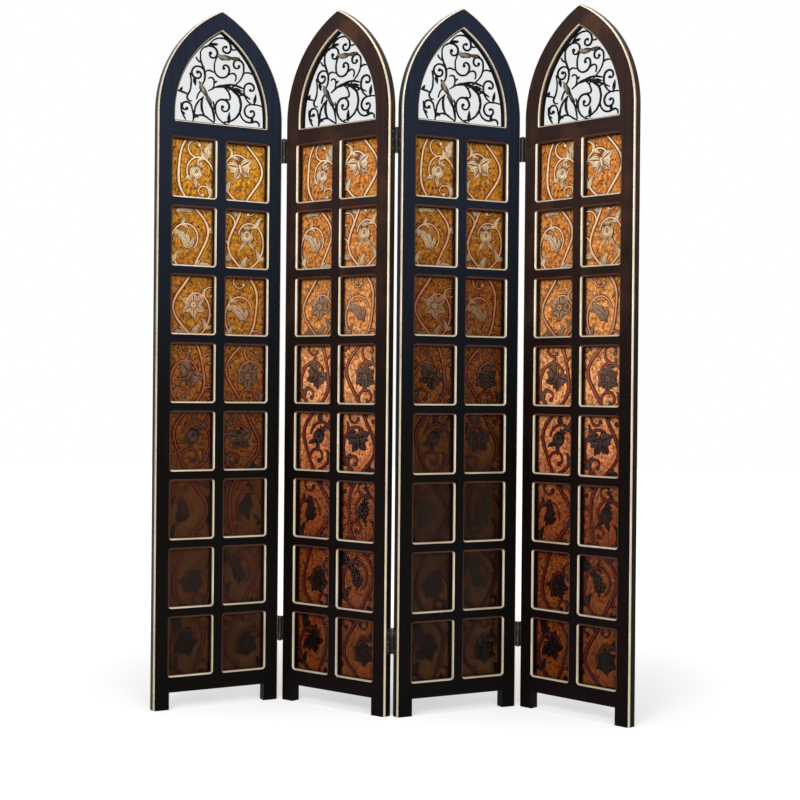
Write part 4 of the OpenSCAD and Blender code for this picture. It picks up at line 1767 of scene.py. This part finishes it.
@dataclass
class VinePicture:
    """The embossed board behind the sixteen lights of a panel.

    Args:
        place: The panel.
        tone: Its colours, which grow darker towards the foot.
        seed: Start of the small differences between one scroll and the next.
        rise: Height of the relief.
        outline: Width of the low band of painted shade round each form.
        dent: Depth of the dents of the ground.
        vine_flank: What the stems' colour is multiplied with on their flanks, as painted shade.
        figure_flank: The same for what grows on them.
    """

    place: PanelPlace
    tone: PictureTone
    seed: int = 7
    rise: float = 2.3
    outline: float = 1.7
    dent: float = 0.2
    vine_flank: Colour = (0.24, 0.055, 0.036)
    figure_flank: Colour = (0.30, 0.14, 0.08)

    @property
    def ground(self) -> float:
        """Depth of the picture's ground behind the panel's front face."""
        return SIZES.lip + SIZES.glass + 1.3 * self.rise + self.dent

    @staticmethod
    def canvas() -> Canvas:
        """The board's front, with nothing on it."""
        left, under = SIZES.stile - SIZES.rebate, SIZES.sill - SIZES.rebate
        return Canvas((left, under), (SIZES.width - left, SIZES.lights_top + SIZES.rebate))

    def board_mesh(self) -> bpy.types.Mesh:
        """The board itself, slightly uneven, with its edges and back.

        Returns:
            The mesh, with its front in the first material slot and the rest in the second.
        """
        canvas = self.canvas()
        (left, under), (right, over) = canvas.low, canvas.high
        columns, rows = 48, 236
        rng = random.Random(self.seed)
        waves = [(rng.uniform(0.01, 0.05), rng.uniform(0.01, 0.05), rng.uniform(0, 6.28)) for _ in range(6)]
        points, faces = [], []
        for j in range(rows + 1):
            z = under + (over - under) * j / rows
            for i in range(columns + 1):
                x = left + (right - left) * i / columns
                wave = sum(math.sin(a * x + b * z + c) for a, b, c in waves) / len(waves)
                points.append((x * MM, (self.ground + self.dent * wave) * MM, z * MM))
        per_row = columns + 1
        for j in range(rows):
            for i in range(columns):
                a = j * per_row + i
                faces.append((a, a + 1, a + per_row + 1, a + per_row))
        back = len(points)
        depth = (SIZES.lip + SIZES.glass + SIZES.board) * MM
        for k in (0, columns, rows * per_row + columns, rows * per_row):
            points.append((points[k][0], depth, points[k][2]))
        rims = [
            list(range(columns + 1)),
            [columns + per_row * j for j in range(rows + 1)],
            [rows * per_row + i for i in range(columns, -1, -1)],
            [per_row * j for j in range(rows, -1, -1)],
        ]
        for k, rim in enumerate(rims):
            faces.append(tuple([*reversed(rim), back + k, back + (k + 1) % 4]))
        faces.append((back + 3, back + 2, back + 1, back))
        mesh = new_mesh(points, faces, columns * rows)
        mesh.polygons.foreach_set("material_index", [int(k >= columns * rows) for k in range(len(faces))])
        return mesh

    def build(self, back: bpy.types.Material) -> None:
        """Builds the board and its relief and dresses them.

        Args:
            back: Material of the board's back and edges.
        """
        place, tone, hand, slot = self.place, self.tone, self.place.hand, "picture_board"
        ground = EmbossedVarnish(place.node("picture_ground"), hand, tone.ground).build()
        vine = EmbossedVarnish(
            place.node("picture_vine"), hand, tone.stem, self.vine_flank, mottled=0.25, crest=0.88
        ).build()
        figure = EmbossedVarnish(
            place.node("picture_figure"), hand, tone.figure, self.figure_flank, mottled=0.35, crest=0.72
        ).build()
        board = add_piece(place, "picture_ground", self.board_mesh(), ground)
        board.data.materials.append(back)
        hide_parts(place.node("picture_board"))
        stems, figures = (Relief(self.ground, outline=self.outline) for _ in range(2))
        VineDrawing(stems, figures, self.canvas(), random.Random(self.seed), self.rise).draw()
        add_piece(place, "vine_stems", stems.mesh(), vine)
        add_piece(place, "vine_figures", figures.mesh(), figure)


# Grille

# Scrolls: start, heading, width at the middle, and the radius and turn of each arc
ARC_SCROLLS: tuple[tuple[Point2, float, float, list[Point2]], ...] = (
    ((14, 11), 0, 6.9, [(56, 205), (150, 12)]),
    ((2, 122), -10, 5, [(40, -70), (8, -150)]),
    ((-20, 114), 16, 5, [(120, -30), (200, -18)]),
    ((12, 124), 18, 5.4, [(90, -42)]),
    ((26, 122), -40, 5, [(340, 6), (17, 88)]),
    ((67, 46), -88, 6, [(30, 95), (40, 20), (12, -130)]),
    ((77, 166), 40, 4.6, [(24, -70)]),
    ((-48, 157), 60, 4.8, [(15, -90), (16, 40)]),
    ((26, 158), 0, 4.8, [(14, 40), (11, -130), (24, -30)]),
    ((-58, 118), 52, 6, [(45, 38), (60, 30), (60, -40)]),
    ((-78, 200), -70, 4.6, [(24, 60)]),
    ((-46, 234), 50, 4.6, [(40, -60)]),
    ((33, 246), -80, 4.8, [(12, 130)]),
    ((-24, 108), 60, 4.8, [(40, 40), (10, 130)]),
    ((-97, 150), -72, 5.4, [(90, -30), (50, -25), (12, 140)]),
    ((-142, 94), -4, 5, [(120, -20)]),
    ((-125, 56), -97, 5, [(62, 48)]),
    ((-86, 4), 92, 5.4, [(120, -22), (60, -40)]),
    ((-44, 78), -45, 6.4, [(94, -46)]),
    ((-54, 82), -115, 8, [(60, 60)]),
    ((-57, 105), -140, 4.6, [(54, 40)]),
    ((-85, 11), 58, 5.6, [(31, -98), (70, 20)]),
    ((-22, 40), 60, 4.6, [(30, 60)]),
)
# Volutes: middle, first and last radius, angle, turn, the arcs that follow, and the radius of the eye
VOLUTE_SCROLLS: tuple[tuple[Point2, float, float, float, float, list[Point2], float], ...] = (
    ((13, 57), 4, 27, -180, 360, [(46, 70), (90, 20)], 5),
    ((103, 49), 3, 25, 90, -360, [(80, -26)], 4),
    ((101, 122), 4, 21, -90, 270, [(45, 55), (32, 46)], 4.4),
    ((58, 190), 5, 20, 330, -330, [(60, -50), (200, -14)], 4.4),
    ((16, 176), 4, 14, 180, -180, [(25, -100), (24, -80), (60, -42)], 4.6),
    ((-27, 217), 5, 22, -180, 270, [(34, 80)], 5.4),
    ((19, 237), 5, 16, 90, 270, [(27, 90), (45, 66)], 4.4),
    ((-72.5, 151), 4, 25, 90, -450, [], 5),
    ((-109, 45), 5, 19, -60, -300, [(200, 8)], 5),
)
# Leaves: base, heading, length and half width
GRILLE_LEAVES: tuple[tuple[Point2, float, float, float], ...] = (
    ((44, 118), -12, 32, 5),
    ((30, 7), 88, 36, 5.4),
    ((106, 19), 80, 17, 4.8),
    ((114, 76), 80, 32, 5),
    ((-36, 247), -8, 26, 4),
    ((-20, 128), 30, 14, 3.6),
    ((-84, 138), -78, 26, 5.4),
    ((-128, 92), 62, 15, 4.4),
    ((-124, 30), -30, 15, 4),
    ((-80, 26), -40, 15, 4.6),
)
# Birds: breast, tilt and size
GRILLE_BIRDS: tuple[tuple[Point2, float, float], ...] = (
    ((4.0, 207.0), 4.0, 40.0),
    ((-61.0, 110.0), -54.0, 38.0),
)


@dataclass
class ScrollGrille:
    """Rounded fronts of the scrolls of a head's grille, and its birds.

    Args:
        place: The panel.
        iron: Material of the scrolls.
        bronze: Material of the birds.
        wide: Width of a volute at its middle.
        thin: Width of a scroll at its ends.
        rolled: How much wider the rounded fronts are than the plate.
        rise: How far they stand out from it.
        bird_rise: How far the birds stand out from their ground.
        bird_ground: How far this ground lies before the plate.
    """

    place: PanelPlace
    iron: bpy.types.Material
    bronze: bpy.types.Material
    wide: float = 6.0
    thin: float = 3.6
    rolled: float = 0.5
    rise: float = 2.0
    bird_rise: float = 2.6
    bird_ground: float = 2.3

    def scroll(self, relief: Relief, points: list[Vector], width: float) -> None:
        """Adds the rounded front of one scroll with a width at its middle."""
        relief.ridge(points, swell(len(points), self.thin + self.rolled, width + self.rolled), self.rise)

    def draw(self) -> Relief:
        """Draws all the scrolls and leaves, in the layout that the CAD grille has.

        Returns:
            Their relief.
        """
        relief = Relief(SIZES.lip, SIZES.head_middle)
        for start, heading, width, arcs in ARC_SCROLLS:
            self.scroll(relief, arc_run(start, heading, arcs), width)
        for centre, inner, outer, angle, turn, arcs, eye in VOLUTE_SCROLLS:
            points = volute(centre, inner, outer, angle, turn, arcs)
            self.scroll(relief, points, self.wide)
            radius = eye + self.rolled
            relief.dome(ellipse(points[0], radius, radius, 0.0, 14), points[0], self.rise * 1.2)
        for base, heading, length, half in GRILLE_LEAVES:
            relief.blade(Vector(base), heading, length, half, self.rise)
        return relief

    def build(self) -> None:
        """Builds the scrolls' fronts and the birds."""
        add_piece(self.place, "scroll_fronts", self.draw().mesh(), self.iron)
        relief = Relief(SIZES.lip - self.bird_ground, SIZES.head_middle)
        for breast, tilt, size in GRILLE_BIRDS:
            Bird(breast, tilt, size, self.bird_rise).model(relief)
        add_piece(self.place, "grille_birds", relief.mesh(), self.bronze)


# CAD nodes


def dress_node(name: str, material: bpy.types.Material) -> None:
    """Gives a CAD node its material.

    Args:
        name: Name of the node.
        material: The material.
    """
    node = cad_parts[name]
    node.data.materials.clear()
    node.data.materials.append(material)
    LOG.info("%s dressed in %s", node.name, material.name)


# Painted reflection in the lacquer, near black at the floor: bluish at the head of fronts turned right,
# brownish with patches of painted sheen at the head of fronts turned left
LACQUER_REFLECTIONS: dict[Facing, tuple[Colour, Colour, Colour | None]] = {
    Facing.RIGHT: ((0.0032, 0.0028, 0.0022), (0.0135, 0.0185, 0.032), None),
    Facing.LEFT: ((0.0050, 0.0026, 0.0024), (0.033, 0.0185, 0.0165), (0.10, 0.045, 0.022)),
}


@dataclass
class PanelFrame:
    """Dresses the CAD nodes of one panel and rounds the corners of its lights.

    Args:
        place: The panel.
        uprights: Pieces with their grain upright.
        levels: Pieces with their grain level.
        corner_steps: Number of flats on the hollow of a corner.
        corner_gap: How far a corner's fillet ends before the lip's back.
    """

    place: PanelPlace
    uprights: tuple[str, ...] = ("left_stile", "right_stile", "left_head", "right_head", "mullion")
    levels: tuple[str, ...] = ("transom", "bottom_rail", "bars")
    corner_steps: int = 6
    corner_gap: float = 0.1

    def corner_outline(self, x: float, z: float, side_x: int, side_z: int) -> list[Point2]:
        """Outline of the fillet in one corner of a light.

        Args:
            x: Place of the corner across the panel.
            z: Its height.
            side_x: 1 if the light lies to its right, -1 if to its left.
            side_z: 1 if the light lies above it, -1 if below.

        Returns:
            The outline's points in one order for all four corners.
        """
        radius = SIZES.light_corner
        outline = [(x, z)]
        for k in range(self.corner_steps + 1):
            angle = math.pi / 2 * k / self.corner_steps
            out_x, out_z = radius * (1.0 - math.sin(angle)), radius * (1.0 - math.cos(angle))
            outline.append((x + side_x * out_x, z + side_z * out_z))
        return outline[::-1] if side_x * side_z > 0 else outline

    def corner_mesh(self) -> bpy.types.Mesh:
        """Small hollow fillets that round the inner corners of the lights.

        Returns:
            The mesh, in metres in the panel's frame.
        """
        sizes = SIZES
        points, faces = [], []
        corners = ((1, 1), (-1, 1), (-1, -1), (1, -1))
        lights = ((column, row) for column in (0, 1) for row in range(sizes.rows))
        for column, row in lights:
            for side_x, side_z in corners:
                x = sizes.light_left(column) + (sizes.light_w if side_x < 0 else 0.0)
                z = sizes.sill + row * sizes.pitch + (sizes.light_h if side_z < 0 else 0.0)
                outline = self.corner_outline(x, z, side_x, side_z)
                first, count = len(points), len(outline)
                for depth in (sizes.rim_depth, sizes.lip - self.corner_gap):
                    points += [(px * MM, depth * MM, pz * MM) for px, pz in outline]
                faces.append(tuple(range(first, first + count)))
                faces.append(tuple(range(first + 2 * count - 1, first + count - 1, -1)))
                for k in range(count):
                    j = (k + 1) % count
                    faces.append((first + k, first + count + k, first + count + j, first + j))
        return new_mesh(points, faces)

    def lacquer(self, name: str, **ways: bool) -> bpy.types.Material:
        """One of the panel's lacquers, named after the panel, with what GiltLacquer's switches say."""
        tones = LACQUER_REFLECTIONS[self.place.facing]
        return GiltLacquer(self.place.node(name), self.place, *tones, **ways).build()

    def build(self, others: dict[str, bpy.types.Material]) -> None:
        """Dresses every node of the panel and adds the fillets.

        Args:
            others: Materials of the pieces that aren't lacquered and gilt.
        """
        upright = self.lacquer("lacquer")
        level = self.lacquer("lacquer_level", along_x=True)
        materials = {**dict.fromkeys(self.uprights, upright), **dict.fromkeys(self.levels, level), **others}
        for piece, material in materials.items():
            dress_node(self.place.node(piece), material)
        corner = self.lacquer("lacquer_corners", local=True)
        add_piece(self.place, "light_corners", self.corner_mesh(), corner)


# Studio


@dataclass
class Studio:
    """Floor, lamps, world and camera.

    Args:
        camera_place: Place of the camera, in metres.
        heading: Turn of the view to the left of +Y, in degrees.
        pitch: Turn of the view upwards, in degrees.
        roll: Roll of the camera, in degrees.
        lens: Focal length for a 36 mm wide picture, in millimetres.
        surround: Strength of the surrounding light.
        floor_half: Half the width of the floor, in metres.
        floor_colour: Colour of the floor.
        floor_glow: What is added to it near the screen and far from it, for rays that see it.
        floor_fade: Distances between which that goes from the one to the other, in metres.
    """

    camera_place: Point3 = (0.18201, -4.31102, 0.96705)
    heading: float = 2.0895
    pitch: float = -0.3282
    roll: float = 0.5241
    lens: float = 64.186
    surround: float = 0.42
    floor_half: float = 14.0
    floor_colour: Colour = (0.70, 0.70, 0.70)
    floor_glow: Point2 = (0.42, 0.85)
    floor_fade: Point2 = (0.8, 2.6)

    def camera(self) -> None:
        """Places the camera."""
        heading, pitch, roll = (math.radians(v) for v in (self.heading, self.pitch, self.roll))
        across = Vector((math.cos(heading), math.sin(heading), 0.0))
        level = Vector((-math.sin(heading), math.cos(heading), 0.0))
        view = level * math.cos(pitch) + Vector((0.0, 0.0, math.sin(pitch)))
        up = level * -math.sin(pitch) + Vector((0.0, 0.0, math.cos(pitch)))
        right = across * math.cos(roll) + up * math.sin(roll)
        top = across * -math.sin(roll) + up * math.cos(roll)
        data = bpy.data.cameras.new("photo_view")
        data.sensor_width = 36.0
        data.lens = self.lens
        data.clip_end = 60.0
        camera = bpy.data.objects.new("photo_view", data)
        bpy.context.scene.collection.objects.link(camera)
        turn = Matrix((right, top, -view)).transposed().to_4x4()
        camera.matrix_world = Matrix.Translation(self.camera_place) @ turn
        bpy.context.scene.camera = camera

    def lamp(self, name: str, spot: Point3, aim: Point3, size: Point2, power: float, colour: Colour) -> None:
        """Adds a soft rectangular lamp that isn't seen itself.

        Args:
            name: Its name.
            spot: Its place, in metres.
            aim: What it points at.
            size: Its width and height.
            power: Its power, in watts.
            colour: Its colour.
        """
        data = bpy.data.lights.new(name, "AREA")
        data.shape = "RECTANGLE"
        data.size, data.size_y = size
        data.energy = power
        data.color = colour
        lamp = bpy.data.objects.new(name, data)
        lamp.visible_camera = False
        lamp.visible_transmission = False
        bpy.context.scene.collection.objects.link(lamp)
        direction = Vector(aim) - Vector(spot)
        lamp.matrix_world = Matrix.Translation(spot) @ direction.to_track_quat("-Z", "Y").to_matrix().to_4x4()

    @staticmethod
    def seen(sheet: NodeSheet) -> Socket:
        """Tells the rays that see the surroundings from those that only light the screen.

        Args:
            sheet: Sheet of a material or the world.

        Returns:
            1 for rays from the camera, straight or by way of a mirror or glass, and 0 for all others.
        """
        paths = sheet.add("ShaderNodeLightPath").outputs
        mirrored = sheet.larger(paths["Is Glossy Ray"], paths["Is Transmission Ray"])
        return sheet.larger(paths["Is Camera Ray"], mirrored)

    def world(self) -> None:
        """A plain pale surrounding that is white to the camera."""
        world = bpy.data.worlds.new("studio")
        world.use_nodes = True
        world.node_tree.nodes.clear()
        sheet = NodeSheet(world.node_tree)
        strength = sheet.blend(self.seen(sheet), self.surround, 1.0)
        back = sheet.fill(sheet.add("ShaderNodeBackground"), Color=WHITE, Strength=strength)
        output = sheet.add("ShaderNodeOutputWorld")
        sheet.link(back.outputs[0], output.inputs["Surface"])
        bpy.context.scene.world = world

    def floor(self) -> None:
        """A plain pale floor that keeps the screen's shadow."""
        turns = ((-1, -1), (1, -1), (1, 1), (-1, 1))
        mesh = new_mesh([(self.floor_half * x, self.floor_half * y, 0.0) for x, y in turns], [(0, 1, 2, 3)])
        mesh.name = "floor"
        floor = bpy.data.objects.new("floor", mesh)
        bpy.context.scene.collection.objects.link(floor)
        material = bpy.data.materials.new("pale_floor")
        material.use_nodes = True
        material.node_tree.nodes.clear()
        sheet = NodeSheet(material.node_tree)
        matt = sheet.fill(sheet.add("ShaderNodeBsdfDiffuse"), Color=self.floor_colour)
        x, y, _ = sheet.parts(Finish.own_place(sheet))
        pale = sheet.blend(sheet.ramp_step(sheet.hypot(x, y), *self.floor_fade), *self.floor_glow)
        strength = sheet.times(self.seen(sheet), pale)
        glow = sheet.fill(sheet.add("ShaderNodeEmission"), Color=WHITE, Strength=strength)
        both = sheet.fill(sheet.add("ShaderNodeAddShader"), (0, matt.outputs[0]), (1, glow.outputs[0]))
        output = sheet.add("ShaderNodeOutputMaterial")
        sheet.link(both.outputs[0], output.inputs["Surface"])
        mesh.materials.append(material)

    def build(self) -> None:
        """Builds the studio."""
        self.world()
        self.floor()
        self.lamp("key", (-1.4, -4.6, 3.3), (0.0, 0.0, 1.2), (2.0, 2.0), 120.0, (1.0, 0.98, 0.95))
        self.lamp("fill", (1.5, -4.8, 2.2), (0.0, 0.0, 1.1), (1.8, 2.2), 85.0, (0.96, 0.98, 1.0))
        self.lamp("top", (0.0, -0.6, 4.2), (0.0, 0.0, 1.0), (3.2, 2.0), 60.0, WHITE)
        self.camera()
        bpy.context.scene.view_settings.view_transform = "Standard"
        LOG.info("studio built")


def main() -> None:
    """Builds the screen's looks, panel by panel, and the studio round it."""
    logging.basicConfig(level=logging.INFO, format="%(name)s: %(message)s")
    glass = ClearGlass("clear_glass").build()
    bead = PlainLacquer("bead_lacquer").build()
    board_back = PlainLacquer("board_back", (0.115, 0.062, 0.034)).build()
    iron = CastMetal(
        "black_iron", (0.004, 0.0045, 0.0045), (0.05, 0.048, 0.045), rubbed=0.15, specular=0.07
    ).build()
    # Colour in the hollows of the birds: partly patina, partly painted shade
    hollow = (0.05, 0.04, 0.03)
    bronze = CastMetal(
        "bird_bronze", (0.20, 0.155, 0.105), (0.46, 0.39, 0.28), metallic=0.3, rubbed=0.5, hollow=hollow
    ).build()
    hinge = CastMetal(
        "blackened_steel", (0.016, 0.015, 0.014), (0.34, 0.32, 0.29), metallic=0.3, rubbed=0.35
    ).build()
    screw = CastMetal(
        "bright_steel", (0.40, 0.385, 0.35), (0.68, 0.66, 0.62), metallic=0.9, rubbed=0.5, roughness=0.36
    ).build()
    others = {"glass": glass, "beads": bead, "grille": iron, "hinge_leaves": hinge, "hinge_screws": screw}
    for place in PLACES:
        PanelFrame(place).build(others)
        VinePicture(place, PICTURE_TONES[place.number]).build(board_back)
        ScrollGrille(place, iron, bronze).build()
    for edge in ("1_2", "2_3", "3_4"):
        dress_node(f"hinge_pins_{edge}", screw)
    Studio().build()
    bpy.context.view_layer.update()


if __name__ == "__main__":
    main()
